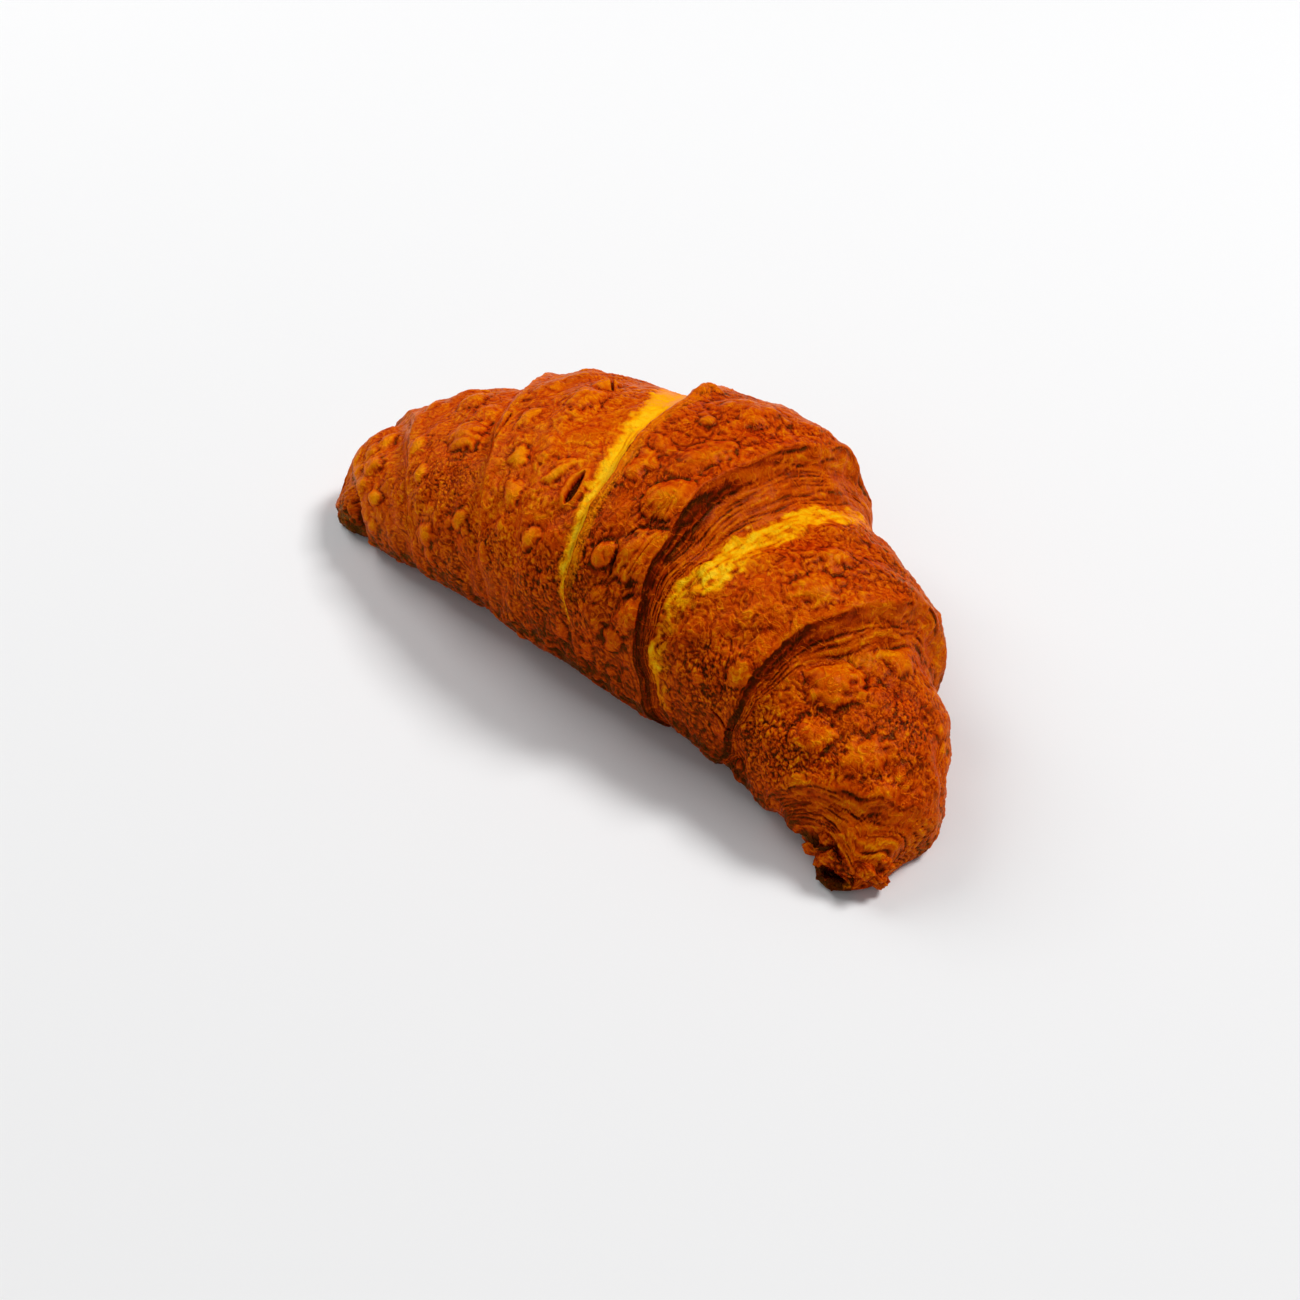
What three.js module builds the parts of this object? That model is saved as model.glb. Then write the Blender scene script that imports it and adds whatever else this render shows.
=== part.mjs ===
// A baked croissant, life size: one solid, rolled from a long triangle of layered dough.
//
// The roll lies along an arc in plan, hollow side towards -Y, and stands on a flat foot at Z = 0.
// Every place on its skin has two coordinates: `along`, the arc length in millimetres from the
// middle of the roll, growing towards the blunt end at +X, and `around`, the angle of the section,
// which is 0 at the outer side, a quarter turn at the crown and half a turn at the hollow side.
//
// Each turn of dough is narrower than the one below it, so its two edges run round the roll as
// spirals that close in on the middle. Where an edge lies, the skin steps down: over the cut face
// of the dough, which shows its layers, to the turn below, which swells up again to its own edge.

import * as THREE from "three";

const TURN = 2 * Math.PI;
const CROWN = TURN / 4;

// The roll's centre line in plan.
const SPINE_RADIUS = 132;
const END = { left: -91.5, right: 95.8 };
const END_ROUNDING = 5.5;

// Half the width of the roll. It is widest at CREST and narrows towards `reach` on either side.
const CREST = 3;
const WIDEST = 40.4;
const TAPER = {
  left: { reach: 95.5, power: 1.8, root: 0.56 },
  right: { reach: 105, power: 1.5, root: 0.89 },
};

// Height over width in the middle, and how much taller than that the section is at the right end.
const TALLNESS = 0.62;
const TALLNESS_GAIN = 0.08;
const BELLY = 0.42; // height of the widest place, over the height of the section
const ROUNDNESS = { side: 2.2, top: 2.1, under: 3 }; // exponents of the section's curves
const SETTLED = 1.6; // how far the foot is pressed flat, in mm

// The innermost turn looks out at each end, shifted towards the hollow side, and the right half
// sways a little towards the outer side.
const CORE_SHIFT = { left: -2, right: -5 };
const CORE_LENGTH = 12;
const CORE_DROP = 0.45; // how much lower the middle of the section lies at the right end
const SWAY = { size: 1.4, middle: 62, reach: 34 };

// The edges of the dough: where each lies along the roll at every quarter turn, from the innermost
// turn to the outermost, starting at the outer side. For each turn, `step` is how far the skin drops
// at its edge, `face` how wide the cut face is along the roll, and `stepLeft` and `faceLeft` the
// shares of the two that are left at the hollow side, where the edge comes down to the foot.
const QUARTERS = 4;
const EDGES = {
  left: {
    sign: -1,
    quarter: [-94, -86, -77.3, -81, -84, -69.5, -56.5, -52, -50, -42, -24, -20, -16, -2.5, 15.5, 34],
    step: [2.6, 2.4, 3.4, 3.8],
    face: [1.4, 3, 4, 5],
    stepLeft: [1, 0.35, 0.35, 0.35],
    faceLeft: [1, 0.25, 0.25, 0.25],
  },
  right: {
    sign: 1,
    quarter: [88, 87, 76, 66, 55, 55.8, 61, 42, 22.5, 20, 37, 38],
    step: [4.6, 4.4, 6],
    face: [8, 5, 9],
    stepLeft: [0.7, 0.35, 0.35],
    faceLeft: [1, 0.25, 0.25],
  },
};
const SHARE_UNDERNEATH = 0.15;
const LEAST_FACE = 0.8;
const LEAST_TURN = 6; // least width of a turn between two edges
const HIDDEN_EDGE = 15; // how far beyond the end the core's own edge would lie
const WANDER = { size: 0.8, waves: [5, 11], phases: [0.4, 2.1] }; // of the outermost edges, in mm

// The groove at the foot of the innermost cut faces, round the core, deepest at `around` degrees.
const GROOVE = { depth: 1.6, width: 1.6, around: 165, spread: 60 };

// The layers in a cut face, as ridges along it, and the edge above it, which curls up unevenly.
const LAYERS = 3;
const LAYER_RELIEF = 0.45;
const CURL = { height: 1.1, reach: 3.5, waves: [9, 14] };

const CURL_AT_HOLLOW_SIDE = 0.35;

// Blisters: domes that steam raised in the crust. The large ones are named by their place, along in
// mm and around in degrees, their reach along and around the roll, and their height.
const LARGE_BLISTERS = [
  { along: 17.8, around: 112, length: 5.4, width: 6.4, height: 1.8 },
  { along: 24, around: 132, length: 6.6, width: 8.6, height: 1.9 },
  { along: 31, around: 153, length: 4, width: 6.5, height: 1.4 },
  { along: 6, around: 68, length: 8, width: 9, height: 1.3 },
  { along: 13.8, around: 94, length: 4.2, width: 8, height: 1.1 },
  { along: 65.6, around: 101, length: 6, width: 6.6, height: 1.7 },
  { along: 79.8, around: 96, length: 4.4, width: 5, height: 1.2 },
  { along: 74, around: 122, length: 5, width: 5, height: 1.2 },
  { along: 62, around: 60, length: 4, width: 6, height: 1.1 },
  { along: -49.4, around: 108, length: 5.2, width: 6.5, height: 1.5 },
  { along: -49.9, around: 166, length: 4, width: 4.6, height: 1.3 },
  { along: -38, around: 154, length: 3.4, width: 4.2, height: 1.1 },
  { along: -25, around: 86, length: 4.6, width: 5.2, height: 1.2 },
  { along: -76.8, around: 115, length: 3.2, width: 3.6, height: 1.1 },
];

// The small ones are scattered by chance.
const BLISTERS = {
  seed: 20,
  tries: 150,
  along: [-82, 82],
  around: [-0.1, 0.53], // in turns
  radius: [2.2, 4],
  rise: 0.15, // height over radius
  clearOfEdge: 3,
};

// Small unevenness of the whole crust: waves of these lengths, and this many of each round it.
const LUMPS = { size: 0.3, lengths: [9, 14, 23], round: [11, 7, 5] };

// Broad places where the dough swelled or sank: along in mm and around in degrees, the reach each
// way, and the height.
const SWELLS = [
  { along: -82, around: 68, length: 5, spread: 30, height: 1.9 },
  { along: -80, around: 195, length: 8, spread: 25, height: -0.8 },
  { along: -43, around: 62, length: 5, spread: 25, height: -1.3 },
  { along: -22, around: 55, length: 12, spread: 25, height: -1.1 },
  { along: -24, around: 192, length: 10, spread: 20, height: -1.2 },
  { along: -1, around: 58, length: 5, spread: 20, height: -1 },
  { along: 4, around: 190, length: 12, spread: 20, height: -2 },
  { along: 14, around: 40, length: 10, spread: 20, height: 1.8 },
  { along: 27, around: 12, length: 4, spread: 20, height: 1.9 },
  { along: 28, around: 190, length: 8, spread: 20, height: -1.6 },
  { along: 45, around: 30, length: 6, spread: 25, height: -1.4 },
  { along: 52, around: 25, length: 4, spread: 20, height: 0.9 },
  { along: 59, around: 18, length: 6, spread: 25, height: -1.6 },
  { along: 62, around: 188, length: 6, spread: 18, height: -2 },
  { along: 73, around: 15, length: 4, spread: 20, height: 1 },
  { along: 80, around: 18, length: 5, spread: 20, height: -1 },
  { along: 84, around: 190, length: 5, spread: 22, height: 5 },
  { along: 94, around: 40, length: 4, spread: 30, height: 2.2 },
  { along: 94, around: 200, length: 4, spread: 30, height: -2.6 },
];

// The skin is laid out in rows round the roll that follow the edges. This many rows lie on each
// stretch from one end to the other: core, cut face, turn, cut face, and so on.
const ROWS = [6, 1, 6, 2, 11, 3, 13, 3, 10, 5, 12, 4, 11, 6, 6];
const LEAST_STRETCH = 0.5;
const SPOKES = 60;
const UNDERNEATH = [235, 305].map((degrees) => (degrees / 360) * TURN);

/** 0 below `from`, 1 above `to`, and a smooth rise between them. */
const rise = (x, from, to) => THREE.MathUtils.smoothstep(x, from, to);

/** The value at `x` on a smooth curve through `values`, which are 1 apart and held at both ends. */
function through(values, x) {
  const last = values.length - 1;
  const at = (i) => values[THREE.MathUtils.clamp(i, 0, last)];
  const place = THREE.MathUtils.clamp(x, 0, last);
  const i = Math.min(Math.floor(place), last - 1);
  const t = place - i;
  const before = (at(i + 1) - at(i - 1)) / 2;
  const after = (at(i + 2) - at(i)) / 2;
  const t2 = t * t;
  const t3 = t2 * t;
  return (
    (2 * t3 - 3 * t2 + 1) * at(i) +
    (t3 - 2 * t2 + t) * before +
    (3 * t2 - 2 * t3) * at(i + 1) +
    (t3 - t2) * after
  );
}

/** A seeded source of numbers from 0 to 1. */
function dice(seed) {
  let state = seed;
  return () => {
    state = (Math.imul(state, 1664525) + 1013904223) >>> 0;
    return state / 2 ** 32;
  };
}

/** Half the width of the roll at a place along it, before the steps are taken off. */
function halfWidth(along) {
  const { reach, power, root } = along < CREST ? TAPER.left : TAPER.right;
  const share = Math.min(Math.abs(along - CREST) / reach, 1);
  return WIDEST * (1 - share ** power) ** root;
}

const height = (along) =>
  2 * halfWidth(along) * (TALLNESS + (TALLNESS_GAIN * along) / END.right);

/** 1 along the roll, falling to 0 at its two ends as a quarter of an ellipse. */
function closing(along) {
  const past = Math.max(
    along - (END.right - END_ROUNDING),
    END.left + END_ROUNDING - along,
    0,
  );
  return Math.sqrt(Math.max(1 - (past / END_ROUNDING) ** 2, 0));
}

/** How far the roll's middle is shifted off the centre line, towards the outer side. */
function sideShift(along) {
  const left = rise(-along, -END.left - CORE_LENGTH, -END.left);
  const right = rise(along, END.right - CORE_LENGTH, END.right);
  const sway = 1 - rise(Math.abs(along - SWAY.middle), 0, SWAY.reach);
  return CORE_SHIFT.left * left + CORE_SHIFT.right * right + SWAY.size * sway;
}

/** 1 at `middle`, falling smoothly to 0 at `reach` from it. */
const hump = (x, middle, reach) => 1 - rise(Math.abs(x - middle), 0, reach);

/** Where an edge of the dough lies along the roll, at an angle, on a turn counted from the core. */
function edgeAt(edge, around, turn) {
  const share = around / TURN - Math.floor(around / TURN + 1 / QUARTERS);
  const wander = WANDER.waves.reduce(
    (sum, waves, i) => sum + Math.sin(waves * around + WANDER.phases[i] + turn),
    0,
  );
  const size = (WANDER.size * (turn + 1)) / edge.step.length;
  return (
    through(edge.quarter, QUARTERS * (share + turn)) +
    (size * wander) / WANDER.waves.length
  );
}

/** The share of a step or face that is left at an angle: all at the crown, less at the hollow side. */
function shareAt(around, atHollowSide) {
  const towardsHollow = rise(-Math.cos(around), 0.1, 1);
  const under = rise(-Math.sin(around), 0.05, 0.9);
  return (
    (1 - (1 - atHollowSide) * towardsHollow) *
    (1 - (1 - SHARE_UNDERNEATH) * under)
  );
}

/** How wide the cut face of a turn is along the roll, at an angle. */
const faceAt = (edge, around, turn) =>
  edge.face[turn] * shareAt(around, edge.faceLeft[turn]) + LEAST_FACE;

/** How deep the groove round the core is, at an angle and a distance past the foot of a face. */
const grooveAt = (around, beyond) =>
  GROOVE.depth *
  hump((around / TURN) * 360, GROOVE.around, GROOVE.spread) *
  Math.exp(-((beyond / GROOVE.width) ** 2));

/** How high the rim above a cut face curls up, at an angle and a distance short of the edge. */
function curlAt(around, turn, short) {
  const [few, many] = CURL.waves;
  const uneven =
    0.5 + 0.25 * Math.sin(few * around + turn) + 0.25 * Math.sin(many * around);
  return CURL.height * uneven * rise(-short, -CURL.reach, 0);
}

/** How far the skin lies below the turns' outer edges, and how near the place is to an edge. */
function stepDown(along, around) {
  let depth = 0;
  let curl = 0;
  let nearest = Infinity;
  for (const edge of Object.values(EDGES)) {
    edge.step.forEach((step, turn) => {
      const past = edge.sign * (along - edgeAt(edge, around, turn));
      const end = edge.sign > 0 ? END.right : END.left;
      const hidden = end + edge.sign * HIDDEN_EDGE;
      const next = turn > 0 ? edgeAt(edge, around, turn - 1) : hidden;
      const width = Math.max(
        edge.sign * (next - edgeAt(edge, around, turn)),
        LEAST_TURN,
      );
      const drop = step * shareAt(around, edge.stepLeft[turn]);
      const face = faceAt(edge, around, turn);
      nearest = Math.min(nearest, past < 0 ? -past : Math.max(past - face, 0));
      if (past <= 0) curl = Math.max(curl, curlAt(around, turn, -past));
      if (past <= 0 || past > width) return;
      const down = past / face;
      const ridges = LAYER_RELIEF * Math.sin(down * LAYERS * TURN);
      const swell = Math.sin(
        (Math.min((past - face) / (width - face), 1) * Math.PI) / 2,
      );
      const groove = turn === 0 ? grooveAt(around, past - face) : 0;
      const here =
        down < 1
          ? drop * rise(down, 0, 1) + ridges * shareAt(around, 0)
          : drop * (1 - swell);
      depth = Math.max(depth, here + groove);
      if (down < 1) curl = curlAt(around, turn, 0) * (1 - rise(down, 0, 0.5));
    });
  }
  return { depth: depth - curl * shareAt(around, CURL_AT_HOLLOW_SIDE), nearest };
}

/** The blisters, scattered by chance over the upper crust but clear of the edges. */
function makeBlisters() {
  const roll = dice(BLISTERS.seed);
  const between = ([low, high]) => low + (high - low) * roll();
  const made = [];
  for (let i = 0; i < BLISTERS.tries; i += 1) {
    const along = between(BLISTERS.along);
    const around = between(BLISTERS.around) * TURN;
    const radius = between(BLISTERS.radius);
    const clear =
      stepDown(along, around).nearest > BLISTERS.clearOfEdge &&
      made.every(
        (b) =>
          Math.hypot(
            b.along - along,
            (b.around - around) * halfWidth(along),
          ) >
          (b.radius + radius) * 0.8,
      );
    if (clear) made.push({ along, around, radius });
  }
  return made;
}

const blisters = makeBlisters();

/** How far the blisters, the lumps and the swells raise the crust at a place. */
function relief(along, around) {
  const reach = halfWidth(along);
  const degrees = (around / TURN) * 360;
  let raised = 0;
  for (const b of LARGE_BLISTERS) {
    const away = ((degrees - b.around) / 360) * TURN * reach;
    const share = ((along - b.along) / b.length) ** 2 + (away / b.width) ** 2;
    raised = Math.max(raised, b.height * Math.max(1 - share, 0));
  }
  for (const b of blisters) {
    const away = Math.hypot(b.along - along, (b.around - around) * reach);
    const share = Math.max(1 - (away / b.radius) ** 2, 0);
    raised = Math.max(raised, BLISTERS.rise * b.radius * share);
  }
  const lumps = LUMPS.lengths.reduce(
    (sum, length, i) =>
      sum +
      Math.sin((TURN * along) / length + i) *
        Math.cos(LUMPS.round[i] * around + 2 * i),
    0,
  );
  const swollen = SWELLS.reduce(
    (sum, s) =>
      sum +
      s.height *
        Math.exp(-(((along - s.along) / s.length) ** 2)) *
        Math.exp(-(((degrees - s.around) / s.spread) ** 2)),
    0,
  );
  return raised + LUMPS.size * lumps + swollen;
}

/** The point of the skin at a place along and an angle around the roll. */
function skin(along, around) {
  const across = Math.cos(around);
  const up = Math.sin(around);
  const wide = halfWidth(along);
  const tall = height(along);
  const shut = closing(along);
  const lowered = along > 0 ? CORE_DROP * (1 - shut) : 0;
  const middle = BELLY * tall * (1 - lowered);
  const limb = up > 0 ? tall - middle : middle + SETTLED;
  const roundness = up > 0 ? ROUNDNESS.top : ROUNDNESS.under;
  const curve = (x, exponent) => Math.sign(x) * Math.abs(x) ** (2 / exponent);

  const { depth } = stepDown(along, around);
  const raised =
    relief(along, around) * rise(up, -0.5, 0.1) - Math.min(depth, 0.6 * wide);
  const sideways =
    (wide * curve(across, ROUNDNESS.side) + raised * across) * shut;
  const lifted = middle + (limb * curve(up, roundness) + raised * up) * shut;

  const bend = along / SPINE_RADIUS;
  const outward = SPINE_RADIUS + sideShift(along) + sideways;
  return new THREE.Vector3(
    outward * Math.sin(bend),
    outward * Math.cos(bend) - SPINE_RADIUS,
    Math.max(lifted, 0),
  );
}

/** Where the rows are guided along an edge: on the edge itself, and straight across underneath. */
function guide(edge, around, turn, place) {
  const [from, to] = UNDERNEATH;
  if (around <= from) return place(edge, around, turn);
  if (around >= to) return place(edge, around - TURN, turn);
  const before = place(edge, from, turn);
  const after = place(edge, to - TURN, turn);
  return THREE.MathUtils.lerp(before, after, rise(around, from, to));
}

/** The two ends and the edges and feet of all the turns along the roll, at an angle. */
function guidesAt(around) {
  const lip = (edge, angle, turn) => edgeAt(edge, angle, turn);
  const foot = (edge, angle, turn) =>
    lip(edge, angle, turn) + edge.sign * faceAt(edge, angle, turn);
  const left = EDGES.left.step.flatMap((_, turn) => [
    guide(EDGES.left, around, turn, foot),
    guide(EDGES.left, around, turn, lip),
  ]);
  const right = EDGES.right.step.flatMap((_, turn) => [
    guide(EDGES.right, around, turn, foot),
    guide(EDGES.right, around, turn, lip),
  ]);
  const guides = [END.left, ...left, ...right.reverse(), END.right];
  return guides.map((place, i) =>
    THREE.MathUtils.clamp(
      place,
      END.left + LEAST_STRETCH * i,
      END.right - LEAST_STRETCH * (guides.length - 1 - i),
    ),
  );
}

/** The places of all the rows along the roll at an angle, closer together towards the ends. */
function rowPlaces(around) {
  const guides = guidesAt(around);
  const last = ROWS.length - 1;
  const places = ROWS.flatMap((rows, stretch) =>
    Array.from({ length: rows }, (_, row) => {
      const even = (row + 1) / rows;
      let share = even;
      if (stretch === 0) share = even ** 1.8;
      if (stretch === last) share = 1 - (1 - even) ** 1.8;
      return THREE.MathUtils.lerp(guides[stretch], guides[stretch + 1], share);
    }),
  );
  return places.slice(0, -1);
}

/** The skin as a closed surface: rows of points round the roll, and a point at each end. */
function rollGeometry() {
  const angles = Array.from({ length: SPOKES }, (_, i) => (TURN * i) / SPOKES);
  const spokes = angles.map(rowPlaces);
  const rings = spokes[0].length;
  const points = [skin(END.left, CROWN)];
  for (let ring = 0; ring < rings; ring += 1) {
    angles.forEach((around, spoke) => {
      points.push(skin(spokes[spoke][ring], around));
    });
  }
  points.push(skin(END.right, CROWN));

  const faces = [];
  const at = (ring, spoke) => 1 + ring * SPOKES + (spoke % SPOKES);
  for (let spoke = 0; spoke < SPOKES; spoke += 1) {
    faces.push(0, at(0, spoke + 1), at(0, spoke));
    faces.push(
      points.length - 1,
      at(rings - 1, spoke),
      at(rings - 1, spoke + 1),
    );
    for (let ring = 0; ring < rings - 1; ring += 1) {
      const [a, b] = [at(ring, spoke), at(ring, spoke + 1)];
      const [c, d] = [at(ring + 1, spoke + 1), at(ring + 1, spoke)];
      faces.push(a, b, c, a, c, d);
    }
  }

  const geometry = new THREE.BufferGeometry().setFromPoints(points);
  geometry.setIndex(faces);
  geometry.computeBoundingBox();
  const middle = geometry.boundingBox.getCenter(new THREE.Vector3());
  geometry.translate(-middle.x, -middle.y, 0);
  geometry.computeVertexNormals();
  return geometry;
}

const crust = new THREE.MeshStandardMaterial({
  color: 0xb8641c,
  roughness: 0.45,
  metalness: 0,
});

const croissant = new THREE.Mesh(rollGeometry(), crust);
croissant.name = "croissant";

const part = new THREE.Group();
part.add(croissant);

export default part;
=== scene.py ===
"""A baked croissant in fine mesh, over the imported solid.

The roll is one skin, laid out in rows that follow the edges of the dough, and cut into the turns
that the eye reads: the middle turn, two turns on each side of it, and the two ends. A ragged knob
of the rolled core looks out under the cut face at the right. Sizes are in millimetres and angles in
degrees, until a mesh is made, which is in metres.
"""

import functools
import itertools
import logging
import math
from collections.abc import Callable
from dataclasses import dataclass, field
from enum import Enum

import bpy
import numpy as np
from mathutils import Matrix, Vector


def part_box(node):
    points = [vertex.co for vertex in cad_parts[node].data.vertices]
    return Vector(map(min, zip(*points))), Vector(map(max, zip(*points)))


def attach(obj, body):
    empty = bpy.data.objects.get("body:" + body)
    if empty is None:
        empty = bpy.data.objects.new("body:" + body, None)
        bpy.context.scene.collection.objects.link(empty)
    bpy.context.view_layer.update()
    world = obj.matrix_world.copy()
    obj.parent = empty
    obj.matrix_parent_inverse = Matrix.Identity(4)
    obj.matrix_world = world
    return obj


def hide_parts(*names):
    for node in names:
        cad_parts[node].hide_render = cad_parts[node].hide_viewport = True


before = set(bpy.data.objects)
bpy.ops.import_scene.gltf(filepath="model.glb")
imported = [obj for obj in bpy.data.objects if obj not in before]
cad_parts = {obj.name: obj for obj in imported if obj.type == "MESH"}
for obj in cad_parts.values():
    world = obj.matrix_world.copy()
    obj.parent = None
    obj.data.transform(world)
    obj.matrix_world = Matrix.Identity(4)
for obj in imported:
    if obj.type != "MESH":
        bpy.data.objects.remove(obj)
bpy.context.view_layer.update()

Array = np.ndarray
Socket = bpy.types.NodeSocket
AddNode = Callable[..., bpy.types.NodeSocket]
Stops = tuple[tuple[float, str], ...]
MM = 0.001
TURN = 2 * math.pi
NODE = "croissant"
BODY = "root"
READ_BY_CRUST = ("bake_and_shade", "pale", "cut", "rough", "film")
HIDDEN_VALUE = 0.4

log = logging.getLogger(NODE)


def linear(colour: str) -> tuple[float, float, float, float]:
    """Turns an sRGB hex colour to linear light.

    Args:
        colour: six hex digits after a hash sign.

    Returns:
        Red, green, blue and a full alpha.
    """
    channels = (int(colour[i : i + 2], 16) / 255 for i in (1, 3, 5))
    turned = (c / 12.92 if c <= 0.04045 else ((c + 0.055) / 1.055) ** 2.4 for c in channels)
    return (*turned, 1.0)


def rise(x: Array, start: float, end: float) -> Array:
    """Gives a smooth step.

    Args:
        x: places to read it at.
        start: where it leaves 0.
        end: where it reaches 1, above or below start.

    Returns:
        Values from 0 to 1.
    """
    t = np.clip((x - start) / (end - start), 0.0, 1.0)
    return t * t * (3 - 2 * t)


def bump(x: Array, middle: float, reach: float) -> Array:
    """Gives a smooth hump of height 1 round middle that ends at reach."""
    return 1 - rise(np.abs(x - middle), 0.0, reach)


def band(x: Array, start: float, full: float, fading: float, end: float) -> Array:
    """Gives a smooth band, which is 0 up to start and beyond end.

    Args:
        x: places to read it at.
        start: where it leaves 0.
        full: where it reaches 1.
        fading: where it leaves 1 again.
        end: where it is back at 0.

    Returns:
        Values from 0 to 1.
    """
    return rise(x, start, full) * (1 - rise(x, fading, end))


def through(values: tuple[float, ...], x: Array) -> Array:
    """Reads a smooth curve through values that are 1 apart and held at both ends.

    Args:
        values: the curve's values at 0, 1, 2 and so on.
        x: places to read it at.

    Returns:
        The curve's values at x.
    """
    known = np.asarray(values, float)
    last = len(known) - 1
    place = np.clip(x, 0, last)
    i = np.minimum(np.floor(place), last - 1).astype(int)
    t = place - i
    near = [known[np.clip(i + k, 0, last)] for k in (-1, 0, 1, 2)]
    before = (near[2] - near[0]) / 2
    after = (near[3] - near[1]) / 2
    t2, t3 = t * t, t * t * t
    return (
        (2 * t3 - 3 * t2 + 1) * near[1]
        + (t3 - 2 * t2 + t) * before
        + (3 * t2 - 2 * t3) * near[2]
        + (t3 - t2) * after
    )


def shingled(level: Array) -> Array:
    """Turns a slope into overlapping leaves, each with a steep edge, from about -0.4 to 0.4."""
    part = level - np.floor(level)
    return rise(part, 0.0, 0.24) - part - 0.38


class Grain:
    """Seeded random relief in space: waves, and cells like foam."""

    def __init__(self, seed: int) -> None:
        """Draws the tables that every lookup reads.

        Args:
            seed: makes the draw repeatable.
        """
        draw = np.random.default_rng(seed)
        self.order = draw.permutation(256)
        slopes = draw.normal(size=(256, 3))
        self.slopes = (slopes / np.linalg.norm(slopes, axis=1)[:, None]).astype(np.float32)
        self.places = draw.random((256, 3)).astype(np.float32)

    def number(self, cell: Array) -> Array:
        """Gives each whole-number place in space a number from 0 to 255."""
        x, y, z = (cell[..., i] & 255 for i in range(3))
        return self.order[(self.order[(self.order[x] + y) & 255] + z) & 255]

    def waves(self, points: Array, size: float, octaves: int = 1) -> Array:
        """Gives smooth noise.

        Args:
            points: places in millimetres, three numbers each.
            size: the length of a wave in millimetres.
            octaves: how many times finer waves of half the height are added.

        Returns:
            Values of about -1 to 1.
        """
        total = np.zeros(points.shape[:-1], np.float32)
        height = 1.0
        for octave in range(octaves):
            scaled = (points / (size / 2**octave) + 17.3 * octave).astype(np.float32)
            cell = np.floor(scaled).astype(np.int32)
            inside = scaled - cell
            fade = inside**3 * (inside * (inside * 6 - 15) + 10)
            for corner in itertools.product((0, 1), repeat=3):
                at = np.array(corner)
                slope = self.slopes[self.number(cell + at)]
                share = np.where(at == 1, fade, 1 - fade).prod(-1)
                total += height * 1.7 * share * ((inside - at) * slope).sum(-1)
            height /= 2
        return total

    def cells(self, points: Array, size: float) -> tuple[Array, Array]:
        """Measures how far each place is from scattered centres.

        Args:
            points: places in millimetres, three numbers each.
            size: the mean distance between centres in millimetres.

        Returns:
            The distances to the nearest and to the second nearest centre, over size.
        """
        scaled = (points / size).astype(np.float32)
        cell = np.floor(scaled).astype(np.int32)
        inside = scaled - cell
        first = np.full(points.shape[:-1], 9.0, np.float32)
        second = first.copy()
        for step in itertools.product((-1, 0, 1), repeat=3):
            at = np.array(step)
            centre = at + self.places[self.number(cell + at)]
            away = ((inside - centre) ** 2).sum(-1)
            second = np.minimum(second, np.maximum(first, away))
            first = np.minimum(first, away)
        return np.sqrt(first), np.sqrt(second)

    def mounds(self, points: Array, size: float, crease: float) -> Array:
        """Gives flat-topped mounds like foam.

        Args:
            points: places in millimetres, three numbers each.
            size: the mean distance between mounds in millimetres.
            crease: how wide the creases between them are, over size.

        Returns:
            0 in a crease, up to 1 on a mound.
        """
        first, second = self.cells(points, size)
        return rise(second - first, 0.0, crease)

    def bend(self, points: Array, size: float, by: float) -> Array:
        """Shifts places unevenly, so that the patterns read there don't look drawn by rule.

        Args:
            points: places in millimetres, three numbers each.
            size: the length of the bends in millimetres.
            by: about how far a place is shifted in millimetres.

        Returns:
            The shifted places.
        """
        return points + by * np.stack([self.waves(points + apart, size) for apart in (0, 50, 90)], -1)


class Side(Enum):
    """The two ends of the roll, by the sign of their place along it."""

    LEFT = -1
    RIGHT = 1


@dataclass(frozen=True)
class DoughEdge:
    """One long edge of the rolled dough, which winds round the roll from a tip to the middle.

    quarter is where it lies along the roll at every quarter turn, from the innermost turn to the
    outermost. The rest have a value for each turn: step is how far the skin drops at the edge, face
    is how wide the cut face is along the roll, step_left and face_left are the shares of them that
    are left at the hollow side, and layers is how many layers of dough the face shows.
    """

    side: Side
    quarter: tuple[float, ...]
    step: tuple[float, ...]
    face: tuple[float, ...]
    step_left: tuple[float, ...]
    face_left: tuple[float, ...]
    layers: tuple[int, ...]


@dataclass(frozen=True)
class Swell:
    """A broad place where the dough swelled or sank, by its middle and its reach each way."""

    along: float
    around: float
    length: float
    spread: float
    height: float


@dataclass(frozen=True)
class Taper:
    """How the roll narrows towards one end."""

    reach: float
    power: float
    root: float


@dataclass
class Lay:
    """What the edges of the dough do at each place of the skin."""

    depth: Array
    curl: Array
    cut: Array
    down: Array
    groove: Array
    rim: Array
    past: dict[tuple[Side, int], Array]


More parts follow.
